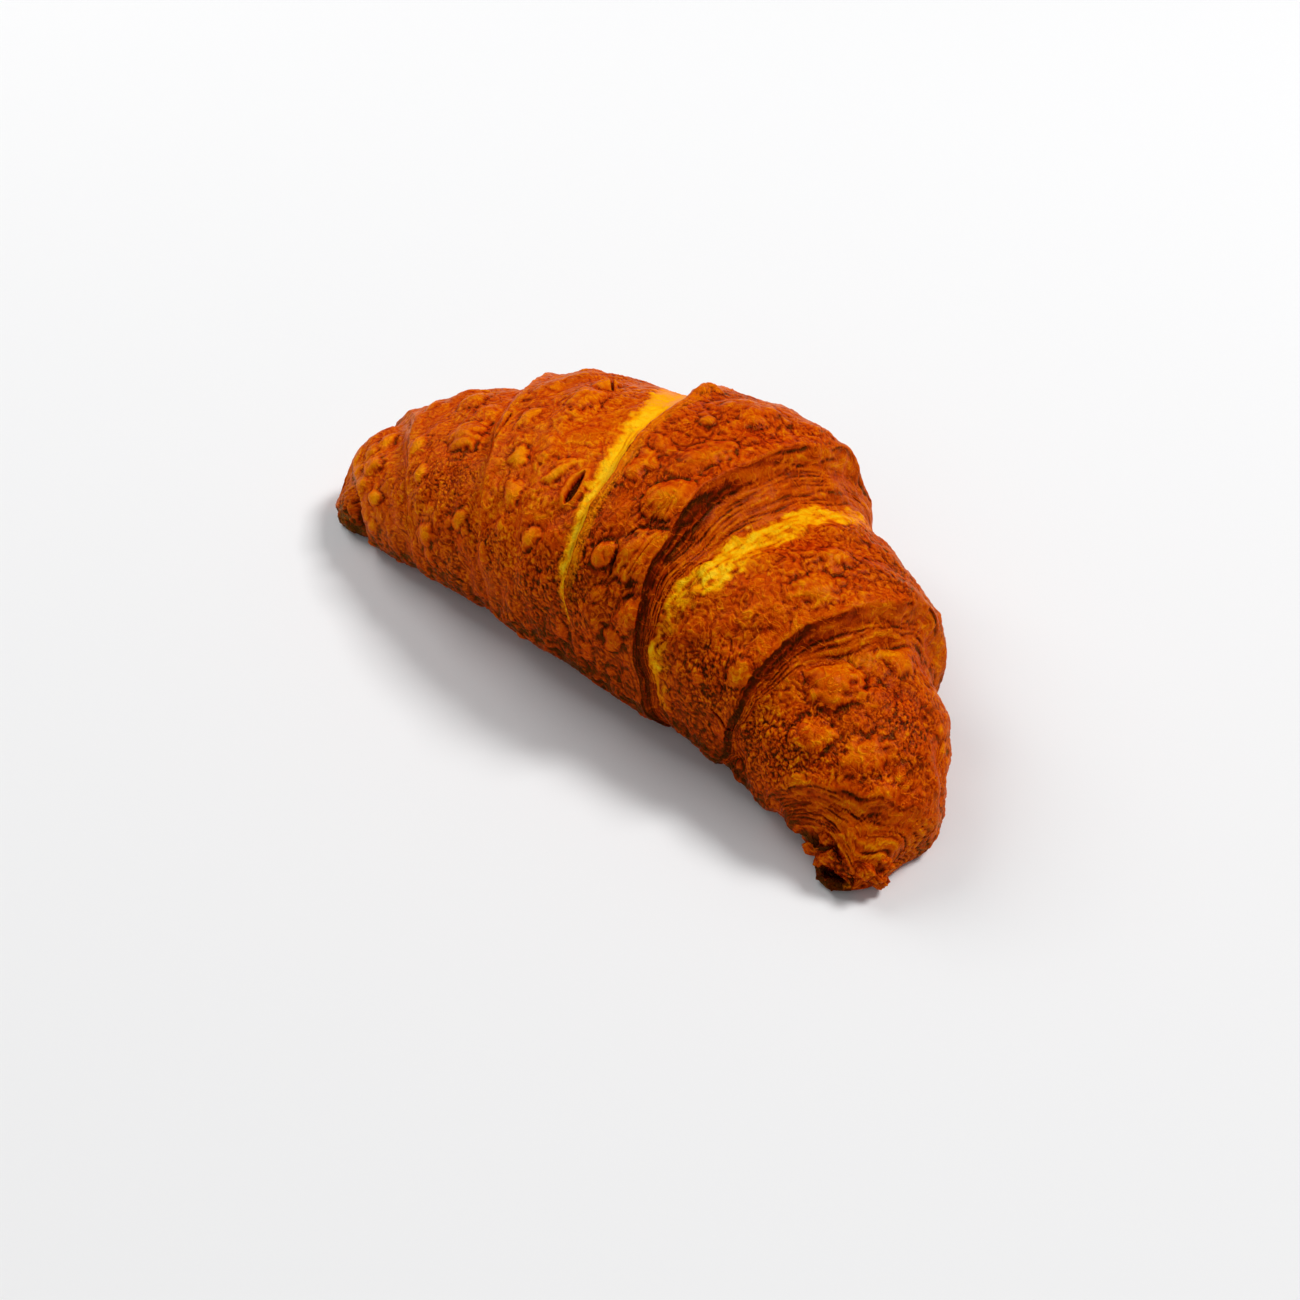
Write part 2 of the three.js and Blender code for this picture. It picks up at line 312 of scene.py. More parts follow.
@dataclass
class Roll:
    """The form of the croissant: the same sizes and curves as the solid, with finer edges."""

    spine_radius: float = 132.0
    left_end: float = -91.5
    right_end: float = 95.8
    end_rounding: float = 5.5
    crest: float = 3.0
    widest: float = 40.4
    left_taper: Taper = Taper(95.5, 1.8, 0.56)
    right_taper: Taper = Taper(105.0, 1.5, 0.89)
    tallness: float = 0.62
    tallness_gain: float = 0.08
    belly: float = 0.42
    settled: float = 1.6
    core_shift: tuple[float, float] = (-2.0, -5.0)
    core_length: float = 12.0
    sway: tuple[float, float, float] = (1.4, 62.0, 34.0)
    share_underneath: float = 0.15
    least_face: float = 0.8
    least_turn: float = 6.0
    hidden_edge: float = 15.0
    wander: float = 0.8
    ragged: float = 0.08
    curl_height: float = 1.1
    curl_reach: float = 3.5
    groove: tuple[float, float] = (1.6, 1.6)
    groove_band: tuple[float, float] = (165.0, 60.0)
    core_drop: float = 0.45
    lumps: tuple[tuple[float, int], ...] = ((9.0, 11), (14.0, 7), (23.0, 5))
    lump_size: float = 0.3
    swells: tuple[Swell, ...] = (
        Swell(-82, 68, 5, 30, 1.9),
        Swell(-43, 62, 5, 25, -1.3),
        Swell(-22, 55, 12, 25, -1.1),
        Swell(-1, 58, 5, 20, -1.0),
        Swell(14, 40, 10, 20, 1.8),
        Swell(27, 12, 4, 20, 1.9),
        Swell(45, 30, 6, 25, -1.4),
        Swell(59, 18, 6, 25, -1.6),
        Swell(73, 15, 4, 20, 1.0),
        Swell(80, 18, 5, 20, -1.0),
        Swell(94, 40, 4, 30, 2.2),
        Swell(52, 25, 4, 20, 0.9),
        Swell(-80, 195, 8, 25, -0.8),
        Swell(-24, 192, 10, 20, -1.2),
        Swell(4, 190, 12, 20, -2.0),
        Swell(28, 190, 8, 20, -1.6),
        Swell(62, 188, 6, 18, -2.0),
        Swell(84, 190, 5, 22, 5.0),
        Swell(94, 200, 4, 30, -2.6),
    )
    edges: tuple[DoughEdge, DoughEdge] = (
        DoughEdge(
            side=Side.LEFT,
            quarter=(-94, -86, -77.3, -81, -84, -69.5, -56.5, -52, -50, -42, -24, -20, -16, -2.5, 15.5, 34),
            step=(2.6, 2.4, 3.4, 3.8),
            face=(1.4, 3.0, 4.0, 5.0),
            step_left=(1.0, 0.35, 0.35, 0.35),
            face_left=(1.0, 0.25, 0.25, 0.25),
            layers=(2, 3, 4, 4),
        ),
        DoughEdge(
            side=Side.RIGHT,
            quarter=(88, 87, 76, 66, 55, 55.8, 61, 42, 22.5, 20, 37, 38),
            step=(4.6, 4.4, 6.0),
            face=(8.0, 5.0, 9.0),
            step_left=(0.7, 0.35, 0.35),
            face_left=(1.0, 0.25, 0.25),
            layers=(12, 7, 12),
        ),
    )

    def half_width(self, along: Array) -> Array:
        """Gives half the width of the roll, before the steps are taken off."""
        left, right = self.left_taper, self.right_taper
        before = along < self.crest
        away = np.abs(along - self.crest)
        reach = np.where(before, left.reach, right.reach)
        power = np.where(before, left.power, right.power)
        root = np.where(before, left.root, right.root)
        return self.widest * (1 - np.minimum(away / reach, 1) ** power) ** root

    def height(self, along: Array) -> Array:
        """Gives the height of the roll, before the steps are taken off."""
        gain = self.tallness_gain * along / self.right_end
        return 2 * self.half_width(along) * (self.tallness + gain)

    def closing(self, along: Array) -> Array:
        """Gives 1 along the roll, falling to 0 at its ends as a quarter of an ellipse."""
        rounding = self.end_rounding
        beyond = np.maximum(along - (self.right_end - rounding), self.left_end + rounding - along)
        return np.sqrt(np.clip(1 - (np.maximum(beyond, 0) / rounding) ** 2, 0, 1))

    def side_shift(self, along: Array) -> Array:
        """Gives how far the roll's middle lies off its centre line, towards the outer side."""
        left = rise(-along, -self.left_end - self.core_length, -self.left_end)
        right = rise(along, self.right_end - self.core_length, self.right_end)
        size, middle, reach = self.sway
        sway = size * bump(along, middle, reach)
        return self.core_shift[0] * left + self.core_shift[1] * right + sway

    def edge_at(self, edge: DoughEdge, around: Array, turn: int) -> Array:
        """Gives where an edge lies along the roll.

        Args:
            edge: the edge of the dough.
            around: angles of the section, in radians.
            turn: the number of the turn, from 0 for the innermost one.

        Returns:
            Places along the roll.
        """
        share = around / TURN - np.floor(around / TURN + 0.25)
        wander = (np.sin(5 * around + 0.4 + turn) + np.sin(11 * around + 2.1 + turn)) / 2
        size = self.wander * (turn + 1) / len(edge.step)
        smooth = through(edge.quarter, 4 * (share + turn)) + size * wander
        return smooth + self.ragged_at(around, turn)

    def ragged_at(self, around: Array, turn: int) -> Array:
        """Gives the fine raggedness of a lip, which the layers below it don't follow."""
        return self.ragged * sum(np.sin(waves * around + 1.7 * waves + turn) for waves in (23, 37, 61))

    def share_at(self, around: Array, at_hollow_side: float) -> Array:
        """Gives how much of a step is left at an angle: all at the crown, less at the hollow side."""
        towards = rise(-np.cos(around), 0.1, 1.0)
        under = rise(-np.sin(around), 0.05, 0.9)
        return (1 - (1 - at_hollow_side) * towards) * (1 - (1 - self.share_underneath) * under)

    def face_at(self, edge: DoughEdge, around: Array, turn: int) -> Array:
        """Gives how wide the cut face of a turn is along the roll."""
        return edge.face[turn] * self.share_at(around, edge.face_left[turn]) + self.least_face

    def foot_at(self, edge: DoughEdge, around: Array, turn: int) -> Array:
        """Gives where the foot of a cut face lies along the roll."""
        face = self.face_at(edge, around, turn)
        return self.edge_at(edge, around, turn) + edge.side.value * face

    def curl_at(self, around: Array, turn: int, short: Array) -> Array:
        """Gives how high the rim above a cut face curls up, at a distance short of the edge."""
        uneven = 0.45 + 0.2 * np.sin(9 * around + turn) + 0.15 * np.sin(14 * around)
        return self.curl_height * uneven * rise(-short, -self.curl_reach, 0)

    def lay(self, along: Array, around: Array, grain: Grain) -> Lay:
        """Reads what all the edges do at each place.

        Args:
            along: places along the roll, in rows.
            around: angles of the section, in radians, in columns.
            grain: makes the layers uneven.

        Returns:
            The drops, rims and layers of all the edges together.
        """
        zero = np.zeros_like(along)
        lay = Lay(*(zero.copy() for _ in range(6)), {})
        for edge, turn in ((edge, turn) for edge in self.edges for turn in range(len(edge.step))):
            sign = edge.side.value
            lip = self.edge_at(edge, around, turn)
            end = self.right_end if sign > 0 else self.left_end
            beyond_end = end + sign * self.hidden_edge
            following = self.edge_at(edge, around, turn - 1) if turn else beyond_end
            past = sign * (along - lip)
            width = np.maximum(sign * (following - lip), self.least_turn)
            drop = edge.step[turn] * self.share_at(around, edge.step_left[turn])
            face = self.face_at(edge, around, turn)
            down = past / face
            on_face = (past > 0) & (down < 1)
            steep = 0.5 * rise(down, 0, 0.3) + 0.5 * rise(down, 0.05, 1)
            swell = np.sin(np.clip((past - face) / (width - face), 0, 1) * TURN / 4)
            here = np.where(down < 1, drop * steep, drop * (1 - swell))
            if turn == 0:
                deep, wide = self.groove
                towards = bump(np.degrees(around), *self.groove_band)
                here = here + deep * towards * np.exp(-(((past - face) / wide) ** 2))
            lay.depth = np.where((past > 0) & (past <= width), np.maximum(lay.depth, here), lay.depth)
            curl = self.curl_at(around, turn, -np.minimum(past, 0))
            lay.curl = np.where(past <= 0, np.maximum(lay.curl, curl), lay.curl)
            curl = self.curl_at(around, turn, zero) * (1 - rise(down, 0, 0.35))
            lay.curl = np.where(on_face, curl, lay.curl)
            rim = np.where(past <= 0, rise(past, -2.5, 0), 1 - rise(down, 0, 0.2))
            lay.rim = np.maximum(lay.rim, rim)
            lay.cut = np.where(on_face, band(down, 0, 0.06, 0.8, 1.0), lay.cut)
            even = (past + sign * self.ragged_at(around, turn)) / face
            grooves = self.grooves(along, around, even, edge.layers[turn], grain, 50.0 * turn * sign)
            lay.groove = np.where(on_face, grooves, lay.groove)
            lay.down = np.where(on_face, np.clip(down, 0, 1), lay.down)
            lay.past[edge.side, turn - len(edge.step)] = past
        return lay

    def grooves(
        self, along: Array, around: Array, down: Array, layers: int, grain: Grain, apart: float
    ) -> Array:
        """Draws the gaps between the layers of a cut face.

        Args:
            along: places along the roll.
            around: angles of the section.
            down: the share of the cut face that lies above each place.
            layers: how many layers the face shows.
            grain: makes the gaps wander, part and join.
            apart: keeps the faces different from each other.

        Returns:
            0 on a layer, up to 1 in the middle of a gap.
        """
        round_about = np.broadcast_to(around * self.half_width(along), along.shape)
        flat = np.full_like(along, apart)
        spread = np.stack([round_about / 6.0, down * layers * 0.5, flat], -1)
        phase = down * layers + 0.9 + 1.1 * grain.waves(spread, 2.6) + 0.3 * grain.waves(spread, 0.9)
        gap = (0.5 + 0.5 * np.cos(phase * TURN)) ** 2.2
        which = np.stack([round_about / 4.0, np.floor(phase + 0.5) * 7, flat], -1)
        strength = 0.15 + 0.85 * rise(grain.waves(which, 2.4), -0.35, 0.5)
        return gap * strength * (1 - rise(down, 0.86, 1.0))

    def points(self, along: Array, around: Array, raised: Array) -> Array:
        """Places the skin in space.

        Args:
            along: places along the roll.
            around: angles of the section, in radians.
            raised: how far the skin stands out there.

        Returns:
            Points in millimetres, with the foot at zero height.
        """
        across, up = np.cos(around), np.sin(around)
        wide, tall = self.half_width(along), self.height(along)
        shut = self.closing(along)
        middle = self.belly * tall * (1 - self.core_drop * (1 - shut) * (along > 0))
        limb = np.where(up > 0, tall - middle, middle + self.settled)
        roundness = np.where(up > 0, 2.1, 3.0)
        out = np.maximum(raised, -0.6 * wide)
        sideways = (wide * np.sign(across) * np.abs(across) ** (2 / 2.2) + out * across) * shut
        lifted = middle + (limb * np.sign(up) * np.abs(up) ** (2 / roundness) + out * up) * shut
        bend = along / self.spine_radius
        outward = self.spine_radius + self.side_shift(along) + sideways
        return np.stack(
            [
                outward * np.sin(bend),
                outward * np.cos(bend) - self.spine_radius,
                np.maximum(lifted, 0),
            ],
            -1,
        )

    def lump(self, along: Array, around: Array) -> Array:
        """Gives the unevenness of the whole crust, with the places that swelled or sank."""
        waves = (
            np.sin(TURN * along / length + i) * np.cos(count * around + 2 * i)
            for i, (length, count) in enumerate(self.lumps)
        )
        swollen = (
            one.height
            * np.exp(-(((along - one.along) / one.length) ** 2))
            * np.exp(-(((np.degrees(around) - one.around) / one.spread) ** 2))
            for one in self.swells
        )
        return self.lump_size * sum(waves) + sum(swollen)


@dataclass(frozen=True)
class Blister:
    """A dome that steam raised in the skin, placed by its middle along and around the roll.

    crisp is 0 for a low uneven mound and 1 for a round dome with a crease round its foot.
    """

    along: float
    around: float
    length: float
    width: float
    height: float
    tan: float = 0.5
    turned: float = 0.0
    crisp: float = 0.3


@dataclass(frozen=True)
class Patch:
    """A round patch of the skin with soft borders, for a texture that only some places have."""

    along: float
    around: float
    length: float
    width: float
    strength: float = 1.0


@dataclass(frozen=True)
class Tear:
    """A slit where the skin tore open and its sides curled up, from one place to another."""

    start: tuple[float, float]
    end: tuple[float, float]
    width: float
    depth: float


LARGE_BLISTERS = (
    Blister(17.8, 112, 5.4, 6.4, 1.8, 0.9, 20, 0.8),
    Blister(24.0, 132, 6.6, 8.6, 1.9, 0.6, 25, 0.8),
    Blister(16.3, 140, 2.8, 4.0, 1.2, 0.6, 0, 1),
    Blister(31.0, 153, 4.0, 6.5, 1.4, 0.4, 20, 0.6),
    Blister(28.0, 168, 3.0, 4.5, 1.0, 0.3, 0, 0.5),
    Blister(5.4, 83, 1.7, 2.0, 0.7, 0.9, 0, 1),
    Blister(6.0, 68, 8.0, 9.0, 1.3, 0.6),
    Blister(13.8, 94, 4.2, 8.0, 1.1, 0.55, 10),
    Blister(6.5, 108, 3.4, 5.0, 0.8, 0.5),
    Blister(65.6, 101, 6.0, 6.6, 1.7, 0.9),
    Blister(79.8, 96, 4.4, 5.0, 1.2, 0.6),
    Blister(74.0, 122, 5.0, 5.0, 1.2, 0.5),
    Blister(62.0, 60, 4.0, 6.0, 1.1, 0.5),
    Blister(49.9, 92, 3.6, 5.0, 0.9, 0.6),
    Blister(44.0, 78, 3.0, 4.4, 0.8, 0.7),
    Blister(58.0, 138, 3.2, 4.0, 0.9, 0.5),
    Blister(-76.6, 91, 3.0, 3.6, 1.1, 0.8),
    Blister(-77.0, 117, 3.2, 3.4, 1.1, 0.6),
    Blister(-73.8, 147, 2.6, 3.0, 1.0, 0.7),
    Blister(-73.8, 174, 2.6, 3.0, 0.9, 0.7),
    Blister(-49.4, 108, 5.2, 6.5, 1.5, 0.8),
    Blister(-49.2, 91, 4.4, 4.2, 1.1, 0.6),
    Blister(-49.9, 166, 4.0, 4.6, 1.3, 0.9),
    Blister(-38.0, 154, 3.2, 4.2, 1.1, 0.7),
    Blister(-63.0, 112, 2.8, 3.6, 1.0, 0.7),
    Blister(-66.6, 76, 2.4, 3.0, 0.9, 0.9),
    Blister(-58.0, 132, 2.6, 3.4, 0.9, 0.6),
    Blister(-56.0, 80, 3.4, 4.2, 1.0, 0.5),
    Blister(-33.5, 100, 2.6, 4.0, 0.9, 0.8),
    Blister(-25.0, 86, 4.6, 5.2, 1.2, 0.7),
    Blister(-26.3, 72, 3.4, 4.6, 1.2, 0.6),
    Blister(-26.8, 121, 3.2, 4.0, 1.1, 0.8),
    Blister(-21.0, 136, 3.0, 4.2, 1.1, 0.8),
    Blister(-12.5, 122, 2.2, 5.0, 1.1, 0.9, 15),
    Blister(-8.5, 150, 3.0, 4.4, 1.0, 0.6),
)

ROUGH_PATCHES = (
    Patch(-46, 132, 12, 12, 0.9),
    Patch(-40, 185, 10, 10, 0.8),
    Patch(-64, 150, 9, 11, 0.7),
    Patch(-18, 160, 14, 16, 1.0),
    Patch(2, 172, 9, 12, 1.0),
    Patch(16, 162, 6, 12, 0.9),
    Patch(5, 122, 4, 7, 0.7),
    Patch(9, 147, 5, 12, 1.0),
    Patch(53, 155, 12, 14, 1.0),
    Patch(47, 110, 8, 12, 0.2),
    Patch(50, 60, 10, 12, 0.5),
    Patch(72, 148, 10, 14, 1.0),
    Patch(72, 70, 9, 12, 0.9),
    Patch(80, 120, 8, 10, 0.3),
    Patch(18, 60, 7, 14, 0.7),
    Patch(-30, 40, 16, 16, 0.7),
    Patch(10, 15, 14, 12, 0.8),
    Patch(-62, 40, 12, 12, 0.7),
    Patch(48, 10, 14, 12, 0.8),
)

PLEATED_PATCHES = (Patch(24, 131, 8, 11), Patch(17, 128, 7, 12, 0.6))

RIGHT_CRAGS = Patch(92, 178, 9, 14)
LEFT_CRAGS = Patch(-86, 175, 6, 8, 0.6)
SCORCHED_PATCH = Patch(83, 190, 5, 5, 0.2)

TEARS = (
    Tear((-6.0, 119), (-4.3, 132), 2.5, 0.75),
    Tear((-39.6, 99), (-37.6, 116), 0.9, 1.3),
    Tear((-28.5, 64), (-23.5, 76), 0.9, 0.8),
    Tear((56.5, 165), (62.0, 168), 0.8, 0.9),
)


@dataclass(frozen=True)
class Texture:
    """The fine relief: how large the parts of each pattern are, and how high or deep, in mm."""

    crumb: float = 1.25
    bubble: float = 0.7
    crumb_height: float = 0.34
    crumb_sunk: float = 0.13
    mound: float = 6.0
    mound_height: float = 0.18
    small_mound: float = 2.6
    small_mound_height: float = 0.03
    peel: float = 7.0
    peel_height: float = 0.13
    long_leaf: float = 9.0
    short_leaf: float = 3.4
    leaf_height: float = 0.24
    pleat: float = 2.2
    pleat_depth: float = 0.4
    fringe: float = 3.4
    fringe_height: float = 0.8
    core_set_back: float = 3.0
    crag: float = 3.4
    crag_height: float = 1.5
    lip_line: float = 0.95
    lip_line_depth: float = 0.2
    fibre: float = 1.1
    fibre_height: float = 0.16
    layer_gap_depth: float = 0.34
    tooth: float = 0.9
    tooth_height: float = 0.04


@dataclass(frozen=True)
class BakeAndShade:
    """How dark the crust is drawn, from black at 0 over brown to tan at 1, and what changes it: real
    browning, and painted light and shade on the relief, in the slits and under the cut faces.
    """

    crust: float = 0.565
    broad_waves: float = 0.08
    short_waves: float = 0.07
    domes: float = 0.04
    # Painted highlight on the leaves, brightest just past each leaf's edge.
    leaves: float = 0.22
    # Painted highlight on the crests of the relief and painted shade in its hollows.
    crest_highlight_and_hollow_shade: float = 1.5
    # Painted light on the broad swells and painted shade between them.
    swells: float = 0.25
    rough: float = -0.1
    # Painted highlight on the crumb tops and painted shade in the gaps between crumbs.
    crumb_highlight_and_gap_shade: float = 0.4
    hollow_side: float = -0.14
    outer_side: float = -0.1
    right_end: float = -0.04
    fringe: float = -0.3
    # Painted highlight along the lips of the left turns.
    left_lip_highlight: float = 0.1
    # Painted light over the left half, away from the hollow foot.
    left_half_light: float = 0.1
    # Painted shade inside the slits.
    slit_shade: float = -0.12
    cut_layers: float = 0.6
    # Painted shade in a band under the lip of each cut face.
    cut_shade: float = -0.3
    # Painted shade in the gaps between the layers.
    layer_gap_shade: float = -0.34
    cut_fibres: float = 0.16
    right_core: float = 0.1
    # Painted shade where the core sinks under the right cut face.
    shade_under_right_face: float = 0.14
    # Painted shade in the gap at the foot of the right cut face.
    right_foot_gap_shade: float = 0.3
    left_nub: float = 0.14


@dataclass
class Skin:
    """The whole skin of the croissant as one grid of rows and spokes, with what colours it."""

    roll: Roll = field(default_factory=Roll)
    texture: Texture = Texture()
    bake_and_shade_shares: BakeAndShade = BakeAndShade()
    cell: float = 0.31
    spokes: int = 640
    flat_share: float = 0.45
    small_blisters: int = 330
    seed: int = 11

    def __post_init__(self) -> None:
        """Lays out the grid and works out every point and every colouring value."""
        self.grain = Grain(self.seed)
        self.around = self.spoke_angles()[None, :]
        self.angle = np.degrees(self.around)
        self.guides = self.guide_places()
        self.stretches = self.row_counts()
        self.along = self.row_places()
        self.lay = self.roll.lay(self.along, self.around, self.grain)
        self.reach = self.roll.half_width(self.along)
        self.base = self.base_points()
        self.wobble = self.grain.waves(self.base, 3.4, 2)
        self.bent = self.grain.bend(self.base, 1.6, 0.5)
        self.values: dict[str, Array] = {}
        self.raised = self.fine_relief()
        self.points = self.base + self.normals_of(self.base) * self.raised[..., None]
        self.points[..., 2] = np.maximum(self.points[..., 2], 0)
        self.normals = self.normals_of(self.points)
        self.colour_values()

    def spoke_angles(self) -> Array:
        """Spreads the spokes evenly over the section, with fewer under the flat foot.

        Returns:
            Angles in radians, from the middle of the foot, a quarter turn below zero, all round.
        """
        angles = np.linspace(-TURN / 4, 3 * TURN / 4, 4001)
        ring = self.roll.points(np.full_like(angles, self.roll.crest), angles, np.zeros_like(angles))
        steps = np.linalg.norm(np.diff(ring, axis=0), axis=1)
        steps *= np.where(ring[1:, 2] <= 0, self.flat_share, 1.0)
        length = np.concatenate([[0], np.cumsum(steps)])
        wanted = np.arange(self.spokes) / self.spokes * length[-1]
        return np.interp(wanted, length, angles)

    def guide_places(self) -> Array:
        """Finds the two ends and the lips and feet of all the edges at every spoke.

        Returns:
            Places along the roll, one row for each guide, in order from left to right.
        """
        roll, angles = self.roll, self.around[0]
        start, stop = np.radians((-55, 235))
        held = np.clip(angles, start, stop)

        def guide(place: Callable[..., Array], edge: DoughEdge, turn: int) -> Array:
            """Follows the edge where it shows, and runs straight across under the foot."""
            found = place(edge, held, turn)
            first, last = (float(place(edge, np.array(a), turn)) for a in (start, stop))
            below = np.where(angles > stop, angles - TURN, angles)
            share = rise(below, stop - TURN, start)
            across = last + (first - last) * share
            return np.where((angles < start) | (angles > stop), across, found)

        left, right = roll.edges
        rows = [np.full_like(angles, roll.left_end)]
        for turn in range(len(left.step)):
            rows += [guide(roll.foot_at, left, turn), guide(roll.edge_at, left, turn)]
        for turn in reversed(range(len(right.step))):
            rows += [guide(roll.edge_at, right, turn), guide(roll.foot_at, right, turn)]
        rows.append(np.full_like(angles, roll.right_end))
        last = len(rows) - 1
        return np.stack(
            [
                np.clip(row, roll.left_end + 0.5 * i, roll.right_end - 0.5 * (last - i))
                for i, row in enumerate(rows)
            ]
        )

    def row_counts(self) -> list[int]:
        """Counts the rows that each stretch between two guides needs."""
        upper = (self.around[0] > 0) & (self.around[0] < TURN / 2)
        gaps = np.diff(self.guides, axis=0)[:, upper].mean(axis=1)
        steeper = [1.25 if i % 2 else 1.08 for i in range(len(gaps))]
        steeper[0] = steeper[-1] = 1.5
        return [max(4, round(gap * more / self.cell)) for gap, more in zip(gaps, steeper)]

    def row_places(self) -> Array:
        """Places every row along the roll, closer together towards the two ends."""
        rows = []
        last = len(self.stretches) - 1
        for i, count in enumerate(self.stretches):
            share = (np.arange(count) + 1) / count
            if i == 0:
                share = share**1.6
            if i == last:
                share = 1 - (1 - share) ** 1.6
            low, high = self.guides[i], self.guides[i + 1]
            rows.append(low + (high - low) * share[:, None])
        return np.concatenate(rows)[:-1]

    def base_points(self) -> Array:
        """Places the skin with its steps and lumps, centred on the solid's box."""
        upper = rise(np.sin(self.around), -0.5, 0.1)
        hollow = self.roll.share_at(self.around, 0.35)
        raised = self.roll.lump(self.along, self.around) * upper
        raised = raised - self.lay.depth + self.lay.curl * hollow
        points = self.roll.points(self.along, self.around, raised)
        low, high = (np.array(corner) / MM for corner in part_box(NODE))
        middle = (points.min((0, 1)) + points.max((0, 1))) / 2
        middle[2] = 0
        return points - middle + np.array([(low[0] + high[0]) / 2, (low[1] + high[1]) / 2, 0])

    def normals_of(self, points: Array) -> Array:
        """Gives the directions that point straight out of the skin."""
        rows = np.gradient(points, axis=0)
        spokes = np.roll(points, -1, 1) - np.roll(points, 1, 1)
        out = np.cross(spokes, rows)
        out /= np.linalg.norm(out, axis=-1, keepdims=True) + 1e-9
        crown = out[out.shape[0] // 2, int(np.argmin(np.abs(self.around[0] - TURN / 4)))]
        return out * np.sign(crown[2])

    def patch(self, spot: Patch) -> Array:
        """Gives the strength of a patch all over the skin."""
        away = (self.around - math.radians(spot.around)) * self.reach
        far = ((self.along - spot.along) / spot.length) ** 2 + (away / spot.width) ** 2
        return spot.strength * np.exp(-far)

    def window(self, along: float, around: float, reach: float) -> tuple[slice, slice]:
        """Finds the part of the grid near a place, so that small things are quick to work out.

        Args:
            along: the place along the roll.
            around: its angle in degrees.
            reach: how far the thing reaches, in millimetres.

        Returns:
            The rows and the spokes that may be touched.
        """
        wide = reach / max(float(self.roll.half_width(np.array(along))), 4.0)
        angle = math.radians(around)
        spokes = np.flatnonzero(np.abs(self.around[0] - angle) < wide * 1.3)
        if not len(spokes):
            return slice(0, 0), slice(0, 0)
        columns = slice(spokes[0], spokes[-1] + 1)
        near = (np.abs(self.along[:, columns] - along) < reach).any(axis=1)
        rows = np.flatnonzero(near)
        if not len(rows):
            return slice(0, 0), slice(0, 0)
        return slice(rows[0], rows[-1] + 1), columns

    def raise_blister(self, one: Blister, raised: Array, dome: Array) -> None:
        """Lifts one blister, with a fine crease round its uneven foot.

        Args:
            one: the blister.
            raised: the relief, changed in place.
            dome: how much each place is the tan top of a blister, changed in place.
        """
        part = self.window(one.along, one.around, 1.5 * max(one.length, one.width))
        x = self.along[part] - one.along
        y = (self.around[:, part[1]] - math.radians(one.around)) * self.reach[part]
        c, s = math.cos(math.radians(one.turned)), math.sin(math.radians(one.turned))
        far = np.hypot((c * x + s * y) / one.length, (c * y - s * x) / one.width)
        far = far * (1 + (0.45 - 0.37 * one.crisp) * self.wobble[part])
        top = np.clip(1 - far**2, 0, 1) ** (1.6 - 0.8 * one.crisp)
        thin = 0.16 / min(one.length, one.width) ** 0.6
        crease = 0.3 * (0.2 + one.crisp) * np.exp(-(((far - 1.04) / thin) ** 2))
        raised[part] = np.maximum(raised[part], one.height * top) - crease * min(one.height, 0.8)
        dome[part] = np.maximum(dome[part], one.tan * rise(top, 0.05, 0.9 - 0.5 * one.crisp))

    def scatter(self) -> list[Blister]:
        """Draws the many small blisters. The cut faces flatten those that fall on them."""
        draw = np.random.default_rng(self.seed + 1)
        found = []
        for _ in range(self.small_blisters):
            along, around, crisp = draw.uniform(-88, 92), draw.uniform(-30, 215), draw.uniform(0, 0.9)
            size = 0.7 + 1.9 * draw.random() ** 2.2
            width = size * draw.uniform(0.9, 1.5)
            turned, tan = draw.uniform(-40, 40), draw.uniform(0.0, 0.5)
            height = size * draw.uniform(0.1, 0.26)
            found.append(Blister(along, around, size, width, height, tan, turned, crisp))
        return found

    def open_tear(self, one: Tear, raised: Array, deep: Array) -> None:
        """Cuts one slit into the skin and curls up its sides.

        Args:
            one: the tear.
            raised: the relief, changed in place.
            deep: how much each place is the dark inside of a slit, changed in place.
        """
        start = np.array([one.start[0], math.radians(one.start[1])])
        span = np.array([one.end[0], math.radians(one.end[1])]) - start
        run = np.array([span[0], span[1] * float(self.roll.half_width(start[0]))])
        x = self.along - start[0]
        y = (self.around - start[1]) * self.reach
        share = np.clip((x * run[0] + y * run[1]) / (run @ run), 0, 1)
        off = np.hypot(x - share * run[0], y - share * run[1])
        half = one.width / 2 * (0.35 + 0.65 * np.sin(share * math.pi) ** 0.6)
        inside = 1 - rise(off / half, 0.55, 1.15)
        rim = np.exp(-(((off - half * 1.5) / (0.45 * one.width)) ** 2))
        raised += 0.28 * one.width * rim * (off > half * 0.8) - one.depth * inside
        np.maximum(deep, inside, out=deep)

    def crumbs(self, dome: Array) -> tuple[Array, Array]:
        """Finds where the crust is granular, and draws its crumbs.

        Args:
            dome: how much each place is the smooth top of a blister.

        Returns:
            How granular each place is, and how high its crumbs are, both from 0 to 1.
        """
        grain, size = self.grain, self.texture
        rough = np.clip(sum(self.patch(spot) for spot in ROUGH_PATCHES), 0, 1)
        rough = np.clip(rough + 0.3 * grain.waves(self.base, 11.0, 2) - 0.25, 0, 1) * (1 - dome) ** 1.5
        first, second = grain.cells(self.bent, size.crumb)
        crumb = rise(second - first, 0.0, 0.32)
        bubble = grain.mounds(self.bent + 31.0, size.bubble, 0.4)
        return rough, 0.6 * crumb * np.clip(1.1 - first, 0, 1) + 0.4 * bubble

